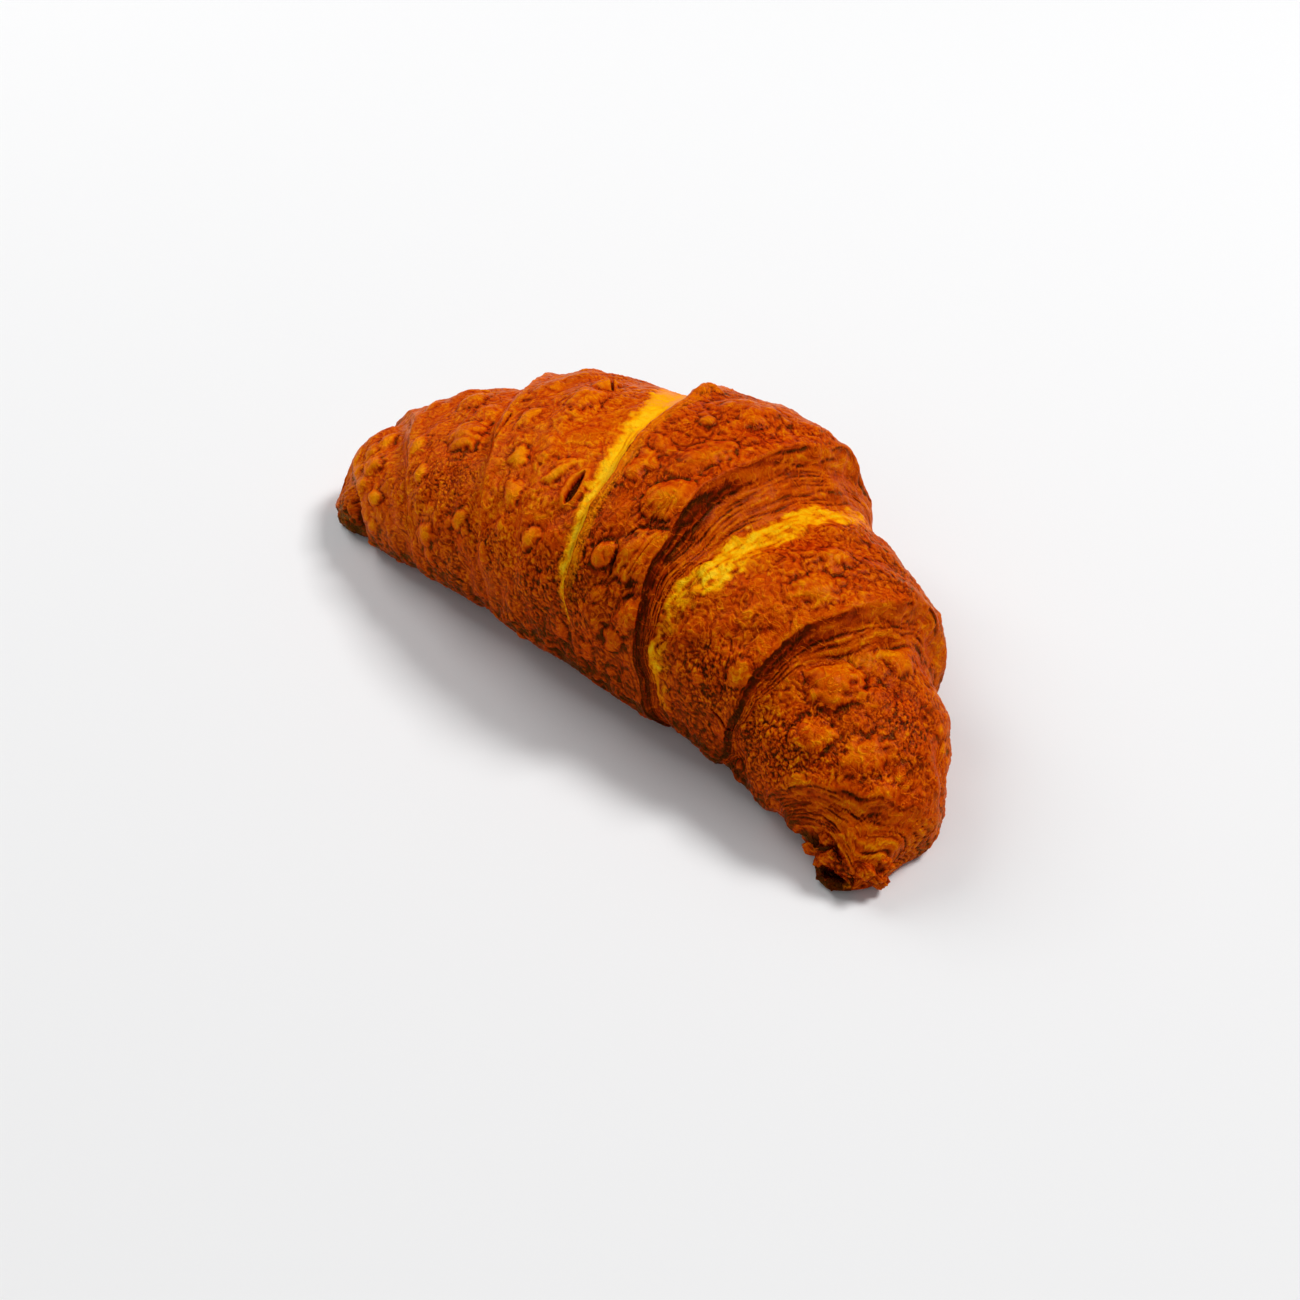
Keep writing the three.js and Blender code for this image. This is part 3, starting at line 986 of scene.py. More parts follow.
    def puffs(self, dome: Array) -> Array:
        """Draws broad puffed mounds here and there and small ones all over, in millimetres."""
        grain, size = self.grain, self.texture
        wobble = self.wobble[..., None]
        puffed = rise(grain.waves(self.base + 21.0, 15.0, 2), -0.1, 0.4) * (1 - dome)
        broad = grain.mounds(self.bent + 1.2 * wobble, size.mound, 0.3)
        small = grain.mounds(self.bent + 0.8 * wobble + 60.0, size.small_mound, 0.2)
        return size.mound_height * puffed * (broad - 0.6) + size.small_mound_height * (small - 0.8)

    def leaves(self, dome: Array) -> Array:
        """Draws thin leaves that overlap, fewer of them on the domes and in calm places."""
        grain, size = self.grain, self.texture
        calm = (1 - 0.8 * dome) * (1 - 0.6 * rise(grain.waves(self.base + 150.0, 16.0), 0.1, 0.5))
        long_leaves = shingled(3.6 * grain.waves(self.bent + 180.0, size.long_leaf, 2))
        short_leaves = shingled(1.7 * grain.waves(self.bent + 240.0, size.short_leaf, 2))
        return calm * (0.55 * long_leaves + 0.45 * short_leaves)

    def pleats(self) -> Array:
        """Draws the narrow folds between the large blisters, as depths in millimetres."""
        stretched = np.stack([self.along, self.around * self.reach / 6.0, 0 * self.along], -1)
        folds = 1 - np.abs(self.grain.waves(stretched, self.texture.pleat, 2))
        folded = sum(self.patch(spot) for spot in PLEATED_PATCHES)
        folded = np.clip(folded + 0.08 + 0.25 * self.grain.waves(self.base + 9.0, 13.0), 0, 1)
        return self.texture.pleat_depth * folded * folds**6

    def broken_ends(self, ragged: Array) -> Array:
        """Sinks the core below the right cut face, and breaks up the dough round both ends.

        Args:
            ragged: noise from about -1 to 1.

        Returns:
            Heights in millimetres.
        """
        size = self.texture
        past = self.along - self.guides[-2]
        under_face = rise(past, -1.2, 1.6) * band(self.angle, 30, 80, 200, 225)
        crags = np.maximum(self.patch(RIGHT_CRAGS) * (past > 0), self.patch(LEFT_CRAGS))
        broken = size.crag_height * self.grain.mounds(self.bent + 120.0, size.crag, 0.45)
        return crags * (broken - 0.9 + 0.5 * ragged) - size.core_set_back * under_face

    def cut_layers(self, fibres: Array) -> Array:
        """Draws the layers that show in the cut faces, as heights in millimetres."""
        size, lay = self.texture, self.lay
        gaps = lay.groove * self.roll.share_at(self.around, 0.55)
        return size.fibre_height * lay.cut * fibres - size.layer_gap_depth * gaps

    def fine_relief(self) -> Array:
        """Works out how far the crust stands out of the plain form, and keeps what made it.

        Returns:
            Heights in millimetres along the normals.
        """
        grain, where, lay, size = self.grain, self.base, self.lay, self.texture
        raised, dome, deep = (np.zeros_like(self.along) for _ in range(3))
        for one in (*LARGE_BLISTERS, *self.scatter()):
            self.raise_blister(one, raised, dome)

        rough, bubble = self.crumbs(dome)
        peel = grain.waves(where + 77.0, size.peel, 3)
        peeled = rise(peel, 0.05, 0.1) + rise(peel, 0.42, 0.46)
        leaves = self.leaves(dome)
        raised += rough * (size.crumb_height * bubble - size.crumb_sunk) + self.puffs(dome)
        raised += size.peel_height * peeled + size.leaf_height * leaves - self.pleats()

        fringe = 0.6 * band(self.angle, 178, 196, 222, 240) + bump(self.angle, -18, 26)
        ragged = grain.waves(where + 5.0, size.fringe, 3)
        raised += fringe * size.fringe_height * np.clip(ragged, -0.6, 0.6) + self.broken_ends(ragged)

        short = -lay.past[Side.LEFT, -1]
        lip = band(short, -0.4, 0.2, 2.0, 3.4) * (1 - rise(self.angle, 150, 175))
        lines = (0.5 + 0.5 * np.cos((short + 0.35 * self.wobble) * TURN / size.lip_line)) ** 2
        raised -= size.lip_line_depth * lip * lines

        raised *= (1 - np.clip(lay.cut * 1.2, 0, 1)) * (1 - 0.6 * lay.rim)
        for one in TEARS:
            self.open_tear(one, raised, deep)
        sides = np.sign(self.along) * 30
        layered = np.stack([lay.down * 16.0, self.around * self.reach / 7, sides], -1)
        fibres = grain.waves(layered, size.fibre, 2)
        raised += self.cut_layers(fibres) + size.tooth_height * grain.waves(where, size.tooth, 2)
        raised *= rise(np.sin(self.around), -0.93, -0.6) * rise(self.roll.closing(self.along), 0.0, 0.5)

        # The leaves and the crumb tops add to the golden share as painted highlight.
        film = 0.3 * dome + 0.45 * rise(grain.waves(where + 63.0, 6.0, 3), -0.3, 0.4) - 0.1 * peeled
        film = np.clip(film + 0.5 * rough * (bubble - 0.3) + 0.7 * leaves - deep, 0, 1)
        self.values.update(dome=dome, rough=rough, deep=deep, fringe=fringe, bubble=bubble)
        self.values.update(fibres=fibres, leaves=leaves, lip=lip, film=film)
        return raised

    def blurred(self, heights: Array, cells: int) -> Array:
        """Smooths the relief.

        Args:
            heights: the relief, in rows and spokes.
            cells: how many cells are taken in on each side of a place.

        Returns:
            The mean height over the square of cells round each place.
        """
        total = heights.astype(float)
        for axis, mode in ((0, "edge"), (1, "wrap")):
            pad = [(0, 0), (0, 0)]
            pad[axis] = (cells + 1, cells)
            run = np.cumsum(np.pad(total, pad, mode=mode), axis=axis)
            size = 2 * cells + 1
            ahead = [slice(None), slice(None)]
            behind = [slice(None), slice(None)]
            ahead[axis], behind[axis] = slice(size, None), slice(None, -size)
            total = (run[tuple(ahead)] - run[tuple(behind)]) / size
        return total

    def left_stripe(self, ragged: Array, threads: Array) -> Array:
        """Works out the yellow stripe below the lip of the middle turn, at the left.

        Args:
            ragged: noise that makes the stripe's border uneven.
            threads: noise drawn out along the roll, for the stretched threads of dough.

        Returns:
            0 on browned crust, 1 or more on yellow dough.
        """
        angle, past = self.angle, self.lay.past[Side.LEFT, -1]
        wide = np.interp(angle, (0, 54, 91, 115, 141, 165), (11, 11.5, 8.7, 6.6, 5.0, 4.6))
        border = rise(past - wide + 1.3 * ragged, -2.6, 1.8)
        strength = (0.3 + 0.7 * rise(angle, 25, 75)) * rise(angle, -20, 15)
        strength = strength * (1 - 0.95 * rise(angle, 160, 186)) * (1 - 0.3 * rise(angle, 105, 140))
        streaks = 1 + (0.15 + 0.45 * rise(angle, 95, 130)) * threads
        return 1.2 * rise(past, 0.5, 2.2) * (1 - border) * strength * streaks

    def right_stripe(self, ragged: Array, threads: Array) -> Array:
        """Works out the yellow stripe beyond the right cut face of the middle turn.

        Args:
            ragged: noise that makes the stripe's border uneven.
            threads: noise drawn out along the roll, for the stretched threads of dough.

        Returns:
            0 on browned crust, 1 or more on yellow dough.
        """
        angle = self.angle
        past = self.lay.past[Side.RIGHT, -1] - self.roll.face_at(self.roll.edges[1], self.around, 2)
        wide = np.interp(angle, (20, 57, 80, 100, 120, 140, 175), (4, 7.5, 5.5, 7.5, 8.5, 5, 4.5))
        border = rise(past - wide + 1.8 * ragged, -4.0, 1.8)
        known = (0, 35, 60, 118, 140, 152, 162, 182, 190)
        strength = np.interp(angle, known, (0, 0.7, 1, 1, 0.6, 0.3, 0.75, 0.7, 0))
        upright = self.base * np.array([1, 1, 0.5])
        streaks = 0.8 + 0.35 * self.grain.waves(upright + 15.0, 2.0, 2)
        start = rise(past + 0.8 * ragged, -1.2, 1.2)
        return start * (1 - border) * strength * streaks * (1.05 + 0.75 * threads)

    def pale_stripes(self) -> Array:
        """Works out where the dough was covered until late in the oven and stayed yellow.

        Returns:
            0 on browned crust, 1 on yellow dough.
        """
        angle = self.angle
        ragged = self.grain.waves(self.base, 2.4, 3)
        drawn = np.stack([self.along * 1.3, self.around * self.reach / 3.2, 0 * self.along], -1)
        threads = self.grain.waves(drawn + 70.0, 1.5, 2) + 0.8 * self.values["leaves"]
        inner = self.lay.past[Side.RIGHT, -2] - self.roll.face_at(self.roll.edges[1], self.around, 1)
        inner_hint = 0.35 * bump(inner + 1.2 * ragged, 0.8, 2.2) * bump(angle, 75, 45)
        lip_hint = 0.3 * self.values["lip"] * rise(angle, -20, 10)
        stripes = (self.left_stripe(ragged, threads), self.right_stripe(ragged, threads))
        return np.clip(np.maximum.reduce([*stripes, inner_hint, lip_hint]), 0, 1)

    def crust_bake_and_shade(self, crest: Array) -> Array:
        """Works out how far the crust is baked, with painted light on the crests, swells, leaves, crumb
        tops and left lips, and painted shade in the hollows, crumb gaps and slits.

        Args:
            crest: how far each place stands above the ones close to it, in millimetres.

        Returns:
            0 for black, up to 1 for tan.
        """
        grain, values, by, angle = self.grain, self.values, self.bake_and_shade_shares, self.angle
        swell = self.blurred(self.raised, 3) - self.blurred(self.raised, 10)
        bake_and_shade = by.crust + by.broad_waves * grain.waves(self.points, 24.0)
        bake_and_shade = bake_and_shade + by.short_waves * grain.waves(self.points + 40.0, 7.0, 2)
        # The leaves get a painted highlight.
        bake_and_shade = bake_and_shade + by.domes * values["dome"] + by.leaves * values["leaves"]
        # Crests and swells are drawn lighter and hollows darker, as painted light and shade.
        bake_and_shade = bake_and_shade + np.clip(by.crest_highlight_and_hollow_shade * crest, -0.36, 0.16) + np.clip(by.swells * swell, -0.1, 0.08)
        # Crumb tops are drawn lighter and the gaps between them darker, as painted light and shade.
        bake_and_shade = bake_and_shade + values["rough"] * (by.rough + by.crumb_highlight_and_gap_shade * (values["bubble"] - 0.45))
        bake_and_shade = bake_and_shade + by.hollow_side * rise(angle, 140, 200) + by.outer_side * rise(-angle, -10, 30)
        bake_and_shade = bake_and_shade + by.right_end * rise(self.along, 55, 95)
        bake_and_shade = bake_and_shade + by.fringe * values["fringe"] * rise(angle, 150, 170)
        # Painted highlight along the left lips, and painted shade inside the slits.
        return bake_and_shade + by.left_lip_highlight * self.lay.rim * (self.along < 0) + by.slit_shade * values["deep"]

    def face_bake_and_shade(self, crest: Array) -> Array:
        """Works out how far the layers in the cut faces are baked, with painted shade under the lips and in
        the gaps between layers, and painted light and shade on the crests and hollows.

        Args:
            crest: how far each place stands above the ones close to it, in millimetres.

        Returns:
            0 for black, up to 1 for tan.
        """
        lay, by, angle = self.lay, self.bake_and_shade_shares, self.angle
        at_core = rise(self.along, 68, 74)
        # Painted shade under the lips of the cut faces and in the gaps between the layers.
        shaded = rise(angle, 75, 115) * (1 - rise(lay.down, 0.2, 0.6)) * (1 - at_core)
        bake_and_shade = by.cut_layers + by.cut_shade * shaded + by.layer_gap_shade * lay.groove
        # Crests of the layers are drawn lighter and hollows darker, as painted light and shade.
        bake_and_shade = bake_and_shade + by.cut_fibres * self.values["fibres"] + 0.6 * crest
        bake_and_shade = bake_and_shade + 0.08 * self.grain.waves(self.points + 3.0, 5.0, 2) - 0.1 * rise(angle, 110, 160)
        # Painted shade at the top of the face next to the right core, under its lip.
        return bake_and_shade - 0.1 * at_core * (1 - rise(lay.down, 0.0, 0.15))

    def scorched_and_shaded(self) -> Array:
        """Works out where the two ends are drawn darker than the rest, from 0 upwards: the cores and the
        left nub baked darker, and painted shade under the right cut face and in the gap at its foot.
        """
        by, angle = self.bake_and_shade_shares, self.angle
        past = self.along - self.guides[-2]
        nub = rise(self.lay.past[Side.LEFT, -4], 0.2, 2.0)
        right = by.right_core * rise(past, -1.0, 1.0) + self.patch(SCORCHED_PATCH)
        # Painted shade under the right cut face and in the gap at its foot.
        right = right + by.shade_under_right_face * rise(past, -0.8, 0.8) * rise(angle, 40, 80)
        right = right + by.right_foot_gap_shade * bump(past, 0.6, 1.6) * rise(angle, 60, 100)
        return right + nub * (by.left_nub * rise(angle, 70, 130) + 0.06 * rise(angle, 150, 190))

    def colour_values(self) -> None:
        """Works out all the numbers that the material reads."""
        cut, values = self.lay.cut, self.values
        crest = self.raised - self.blurred(self.raised, 4)
        bake_and_shade = self.crust_bake_and_shade(crest) * (1 - cut) + self.face_bake_and_shade(crest) * cut
        # Painted light over the left half of the crust.
        left_half_light = rise(-self.along, 2, 16) * (1 - rise(self.angle, 160, 190))
        bake_and_shade = bake_and_shade + self.bake_and_shade_shares.left_half_light * left_half_light - self.scorched_and_shaded()
        film = values["film"] - 0.25 * bump(self.along, 8, 24)
        values["bake_and_shade"] = np.clip(bake_and_shade, 0, 1)
        # The yellow dough is drawn lighter on crests and darker in hollows, as painted light and shade.
        values["pale"] = np.clip(self.pale_stripes() * (1 + 0.4 * np.clip(crest * 3, -1, 0.5)), 0, 1)
        values["cut"] = cut
        values["film"] = film * (1 - cut) + (0.3 + 0.3 * values["fibres"]) * cut


@dataclass(frozen=True)
class Finish:
    """What every finish shares: a name, a base shader, and one way to add nodes."""

    name: str

    def start(self) -> tuple[bpy.types.Material, bpy.types.NodeTree, bpy.types.Node]:
        """Opens a material with a base shader joined to its output."""
        material = bpy.data.materials.new(self.name)
        material.use_nodes = True
        tree = material.node_tree
        return material, tree, tree.nodes["Principled BSDF"]


def feed(tree: bpy.types.NodeTree, node: bpy.types.Node, inputs: dict[str | int, object]) -> None:
    """Links sockets to a node's inputs, and sets the inputs that are given a value.

    Args:
        tree: the material's nodes.
        node: the node.
        inputs: for each input, a socket to link from or a value.
    """
    for key, value in inputs.items():
        if isinstance(value, Socket):
            tree.links.new(value, node.inputs[key])
        else:
            node.inputs[key].default_value = value


def add(
    tree: bpy.types.NodeTree,
    kind: str,
    inputs: dict[str | int, object],
    out: str | int = 0,
    stops: Stops = (),
    **settings: object,
) -> Socket:
    """Adds a node with its settings and links.

    Args:
        tree: the material's nodes.
        kind: Blender's name for the kind of node, after ShaderNode.
        inputs: for each input, a socket to link from or a value to set.
        out: the output to give back, by name or number.
        stops: places and hex colours, where the node has a colour ramp.
        settings: the node's own settings.

    Returns:
        One output of the new node.
    """
    node = tree.nodes.new("ShaderNode" + kind)
    for key, value in settings.items():
        setattr(node, key, value)
    feed(tree, node, inputs)
    if stops:
        elements = node.color_ramp.elements
        while len(elements) < len(stops):
            elements.new(0.5)
        for element, (place, colour) in zip(elements, stops):
            element.position = place
            element.color = linear(colour)
    return node.outputs[out]


def per_metre(size_mm: float) -> float:
    """Gives the scale of a pattern whose features are a number of millimetres apart."""
    return 1 / (size_mm * MM)


@dataclass(frozen=True)
class EggWashedCrust(Finish):
    """Butter dough, brushed with egg and baked: amber to chestnut, glossy, with duller cut layers.

    The egg wash gives small golden highlights on the leaves and blisters, and the sugars in it brown
    unevenly; the lips of the leaves also get a painted highlight and shade. Dough that another turn
    covered stays yellow, duller and finely porous, with painted shade in its pores. The caramel in the
    film takes the blue out of what it mirrors, so its gloss and sheen are amber. The finest patterns
    are drawn coarser than the real ones, as these wouldn't show in the render.
    """

    name: str = "egg_washed_crust"
    bare: Stops = (
        (0.0, "#180200"),
        (0.2, "#460500"),
        (0.38, "#8c2200"),
        (0.54, "#be4600"),
        (0.7, "#d06000"),
        (0.85, "#e08404"),
        (1.0, "#f09c18"),
    )
    film: Stops = (
        (0.0, "#1e0400"),
        (0.2, "#4e0d00"),
        (0.38, "#943000"),
        (0.54, "#c66800"),
        (0.7, "#d88800"),
        (0.85, "#e8aa0c"),
        (1.0, "#f6c03c"),
    )
    dough: Stops = (
        (0.0, "#cc6a00"),
        (0.35, "#eaa000"),
        (0.65, "#f8cc0c"),
        (1.0, "#fff478"),
    )
    # Black to white at each lip, as painted shade and highlight, then fading over the leaf.
    leaf_edge: Stops = (
        (0.0, "#000000"),
        (0.08, "#ffffff"),
        (0.35, "#9c9c9c"),
        (1.0, "#303030"),
    )
    glaze: str = "#ffdc59"
    sheen: str = "#ff9a48"
    speckle_mm: float = 0.55
    mottle_mm: float = 2.6
    pore_mm: float = 0.8
    leaf_mm: float = 3.2
    grain_mm: float = 0.35
    relief_mm: float = 0.3
    # How strongly the painted highlight and shade of the leaf edges show in the colour.
    leaf_highlight_share: float = 0.19
    mottle_share: float = 0.24
    # Painted shade in the pores of the yellow dough.
    pore_shade: float = 0.22
    satin: tuple[float, float] = (0.12, 0.55)

    def leaf_edges(self, node: AddNode, place: Socket) -> Socket:
        """Draws the edges of thin leaves, for the bump and as a painted highlight that is bright at each
        lip and fades over the leaf, with painted shade just before the next lip.
        """
        pattern = {"Vector": place, "Scale": per_metre(self.leaf_mm), "Detail": 1.5, "Distortion": 1.1}
        level = node("Math", {0: node("TexNoise", pattern), 1: 4.0}, operation="MULTIPLY")
        level = node("Math", {0: level}, operation="FRACT")
        return node("ValToRGB", {"Fac": level}, stops=self.leaf_edge)

    def unevenness(
        self, node: AddNode, speckle: Socket, mottle: Socket, leaf: Socket, rough: Socket
    ) -> Socket:
        """Adds up what browns the crust unevenly, with the painted highlight and shade of the leaf edges.

        Args:
            node: adds a node.
            speckle: fine noise, which shows more where the crust is granular.
            mottle: broader noise.
            leaf: the edges of thin leaves, with their painted highlight and shade.
            rough: how granular the crust is.

        Returns:
            How much more or less each place is baked, with the painted light and shade of the leaf edges.
        """
        lively = node("Math", {0: rough, 1: 0.6, 2: 0.22}, operation="MULTIPLY_ADD")
        fine = node("Math", {0: speckle, 1: 0.5}, operation="SUBTRACT")
        fine = node("Math", {0: fine, 1: lively}, operation="MULTIPLY")
        fine = node("Math", {0: leaf, 1: self.leaf_highlight_share, 2: fine}, operation="MULTIPLY_ADD")
        fine = node("Math", {0: mottle, 1: self.mottle_share, 2: fine}, operation="MULTIPLY_ADD")
        return node("Math", {0: fine, 1: 0.18}, operation="SUBTRACT")

    def crust_colour(self, node: AddNode, bake_and_shade: Socket, film: Socket, fine: Socket) -> Socket:
        """Colours the crust, redder where it is bare and more golden where the egg stayed thick and where
        the leaves and crumb tops carry a painted highlight.

        Args:
            node: adds a node.
            bake_and_shade: how far the crust is baked, with painted light and shade.
            film: how thick the egg is, with painted highlight on the leaves and crumb tops.
            fine: how much more or less each place is baked, with the painted light and shade of the leaf
                edges.

        Returns:
            The colour.
        """
        baked = node("Math", {0: bake_and_shade, 1: fine}, operation="ADD")
        bare = node("ValToRGB", {"Fac": baked}, stops=self.bare)
        golden = node("ValToRGB", {"Fac": baked}, stops=self.film)
        share = node("Math", {0: fine, 1: 1.6, 2: film}, operation="MULTIPLY_ADD")
        share = node("MapRange", {"Value": share, "From Min": 0.0, "From Max": 1.1})
        return node("Mix", {0: share, 6: bare, 7: golden}, 2, data_type="RGBA")

    def make(self) -> bpy.types.Material:
        """Builds the material.

        Returns:
            The finished material.
        """
        material, tree, shader = self.start()
        node = functools.partial(add, tree)
        place = node("TexCoord", {}, "Object")
        # The bake value holds how far the crust is baked, together with painted light and shade.
        bake_and_shade, pale, cut, rough, film = (
            node("Attribute", {}, "Fac", attribute_name=name) for name in READ_BY_CRUST
        )

        speckle, mottle, grain = (
            node("TexNoise", {"Vector": place, "Scale": scale, "Detail": detail, "Roughness": 0.6})
            for scale, detail in (
                (per_metre(self.speckle_mm), 3.0),
                (per_metre(self.mottle_mm), 4.0),
                (per_metre(self.grain_mm), 2.0),
            )
        )
        # The leaf edges raise the bump and give a painted highlight and shade.
        leaf = self.leaf_edges(node, place)
        fine = self.unevenness(node, speckle, mottle, leaf, rough)
        crust = self.crust_colour(node, bake_and_shade, film, fine)

        # Dough that was covered is yellow, with fine pores, which are sunk and drawn darker as painted
        # shade.
        pores = node("TexVoronoi", {"Vector": place, "Scale": per_metre(self.pore_mm)}, "Distance")
        pit = node("MapRange", {"Value": pores, "From Min": 0.25, "From Max": 0.0})
        risen = node("Math", {0: fine, 1: 0.9, 2: pale}, operation="MULTIPLY_ADD")
        pore_shaded = node("Math", {0: pit, 1: -self.pore_shade, 2: risen}, operation="MULTIPLY_ADD")
        dough = node("ValToRGB", {"Fac": pore_shaded}, stops=self.dough)
        covered = node("MapRange", {"Value": risen, "From Min": 0.08, "From Max": 0.5})
        colour = node("Mix", {0: covered, 6: crust, 7: dough}, 2, data_type="RGBA")

        # Cut layers and covered dough had no egg, so they are duller.
        dull = node("Math", {0: cut, 1: 0.25, 2: mottle}, operation="MULTIPLY_ADD")
        dull = node("Math", {0: covered, 1: 0.4, 2: dull}, operation="MULTIPLY_ADD")
        glossy, matt = self.satin
        dull_range = {"From Min": 0.35, "From Max": 1.2, "To Min": glossy, "To Max": matt}
        dull = node("MapRange", {"Value": dull, **dull_range})

        # Leaves and grains stand out, and the pores of the yellow dough are sunk.
        height = node("Math", {0: leaf, 1: grain}, operation="ADD")
        height = node("Math", {0: speckle, 1: 0.9, 2: height}, operation="MULTIPLY_ADD")
        sunk = node("Math", {0: pit, 1: covered}, operation="MULTIPLY")
        height = node("Math", {0: sunk, 1: -0.8, 2: height}, operation="MULTIPLY_ADD")
        bump_inputs = {"Height": height, "Strength": 0.55, "Distance": self.relief_mm * MM}
        gloss = {
            "IOR": 1.45,
            "Specular IOR Level": 0.55,
            "Specular Tint": linear(self.sheen),
            "Coat Weight": 1.0,
            "Coat IOR": 1.05,
            "Coat Roughness": 0.3,
            "Coat Tint": linear(self.glaze),
        }
        normal = node("Bump", bump_inputs, "Normal")
        feed(tree, shader, {"Base Color": colour, "Roughness": dull, "Normal": normal, **gloss})
        return material


@dataclass(frozen=True)
class SeamlessPaper(Finish):
    """White background paper, calendered: matt and even, with the faintest tooth.

    The tooth is drawn coarser than the fibres of real paper, which wouldn't show in the render.
    """

    name: str = "seamless_white_paper"
    colour: str = "#efefef"
    tooth_mm: float = 0.6

    def make(self) -> bpy.types.Material:
        """Builds the material.

        Returns:
            The finished material.
        """
        material, tree, shader = self.start()
        place = add(tree, "TexCoord", {}, "Object")
        tooth = add(tree, "TexNoise", {"Vector": place, "Scale": per_metre(self.tooth_mm)})
        relief = {"Height": tooth, "Strength": 0.05, "Distance": 0.05 * MM}
        surface = {"Base Color": linear(self.colour), "Roughness": 0.9, "Specular IOR Level": 0.2}
        feed(tree, shader, {"Normal": add(tree, "Bump", relief, "Normal"), **surface})
        return material


def tube_faces(rows: int, spokes: int, inwards: bool = False) -> list[Array]:
    """Gives the faces of a closed tube of rings, whose two middle points come after the rings.

    Args:
        rows: how many rings there are.
        spokes: how many points a ring has.
        inwards: turns every face over, for rings that run the other way round.

    Returns:
        The four-sided faces between the rings, and the three-sided ones at the two ends.
    """
    ring = np.arange(spokes)
    beside = (ring + 1) % spokes
    base = (np.arange(rows - 1) * spokes)[:, None]
    last = (rows - 1) * spokes
    first_middle, last_middle = (np.full(spokes, rows * spokes + i) for i in (0, 1))
    faces = [
        [base + ring, base + beside, base + spokes + beside, base + spokes + ring],
        [first_middle, beside, ring],
        [last_middle, last + ring, last + beside],
    ]
    if inwards:
        faces = [[face[0], *face[:0:-1]] for face in faces]
    return [np.stack(face, -1).reshape(-1, len(face)) for face in faces]


def make_mesh(
    name: str, points: Array, faces: list[Array], values: dict[str, Array], normals: Array | None = None
) -> bpy.types.Object:
    """Makes an object from arrays.

    Args:
        name: the piece's name.
        points: its vertices in millimetres.
        faces: arrays of vertex numbers, one row for each face, each array with its own face size.
        values: numbers for each vertex, by name, that the material reads.
        normals: the direction of the surface at each vertex, where it isn't taken from the mesh.

    Returns:
        The object, linked to the scene.
    """
    mesh = bpy.data.meshes.new(name)
    mesh.vertices.add(len(points))
    mesh.vertices.foreach_set("co", (points * MM).astype(np.float32).ravel())
    corners = np.concatenate([f.ravel() for f in faces]).astype(np.int32)
    sizes = np.concatenate([np.full(len(f), f.shape[1]) for f in faces])
    mesh.loops.add(len(corners))
    mesh.loops.foreach_set("vertex_index", corners)
    mesh.polygons.add(len(sizes))
    starts = np.concatenate([[0], np.cumsum(sizes)[:-1]]).astype(np.int32)
    mesh.polygons.foreach_set("loop_start", starts)
    mesh.polygons.foreach_set("use_smooth", np.ones(len(sizes), bool))
    mesh.update(calc_edges=True)
    for key, numbers in values.items():
        layer = mesh.attributes.new(key, "FLOAT", "POINT")
        layer.data.foreach_set("value", numbers.astype(np.float32).ravel())
    mesh.validate()
    if normals is not None:
        mesh.normals_split_custom_set_from_vertices(normals.astype(np.float32))
    piece = bpy.data.objects.new(name, mesh)
    bpy.context.scene.collection.objects.link(piece)
    return piece


def hand_over(piece: bpy.types.Object, finish: bpy.types.Material) -> None:
    """Gives a piece its finish and its body, and hides the solid that it stands for."""
    piece.data.materials.append(finish)
    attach(piece, BODY)
    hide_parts(NODE)
    log.info("%s: %d faces", piece.name, len(piece.data.polygons))


@dataclass
class DoughTurn:
    """One visible turn of the rolled dough, from the foot of one cut face to the foot of the next."""

    name: str
    first: int
    last: int

    def build(self, skin: Skin) -> bpy.types.Object:
        """Cuts the turn out of the skin and closes it inside the roll.

        Args:
            skin: the whole skin.

        Returns:
            The closed piece.
        """
        ends = np.concatenate([[0], np.cumsum(skin.stretches)])
        total, spokes = skin.points.shape[:2]
        rows = slice(max(int(ends[self.first]) - 1, 0), min(int(ends[self.last]), total))
        grid = skin.points[rows]
        points = np.concatenate([grid.reshape(-1, 3), [grid[0].mean(0), grid[-1].mean(0)]])
        values = {
            key: np.concatenate([skin.values[key][rows].ravel(), [HIDDEN_VALUE] * 2])
            for key in READ_BY_CRUST
        }
        out = np.array([[-1.0, 0, 0], [1.0, 0, 0]])
        normals = np.concatenate([skin.normals[rows].reshape(-1, 3), out])
        return make_mesh(self.name, points, tube_faces(len(grid), spokes), values, normals)


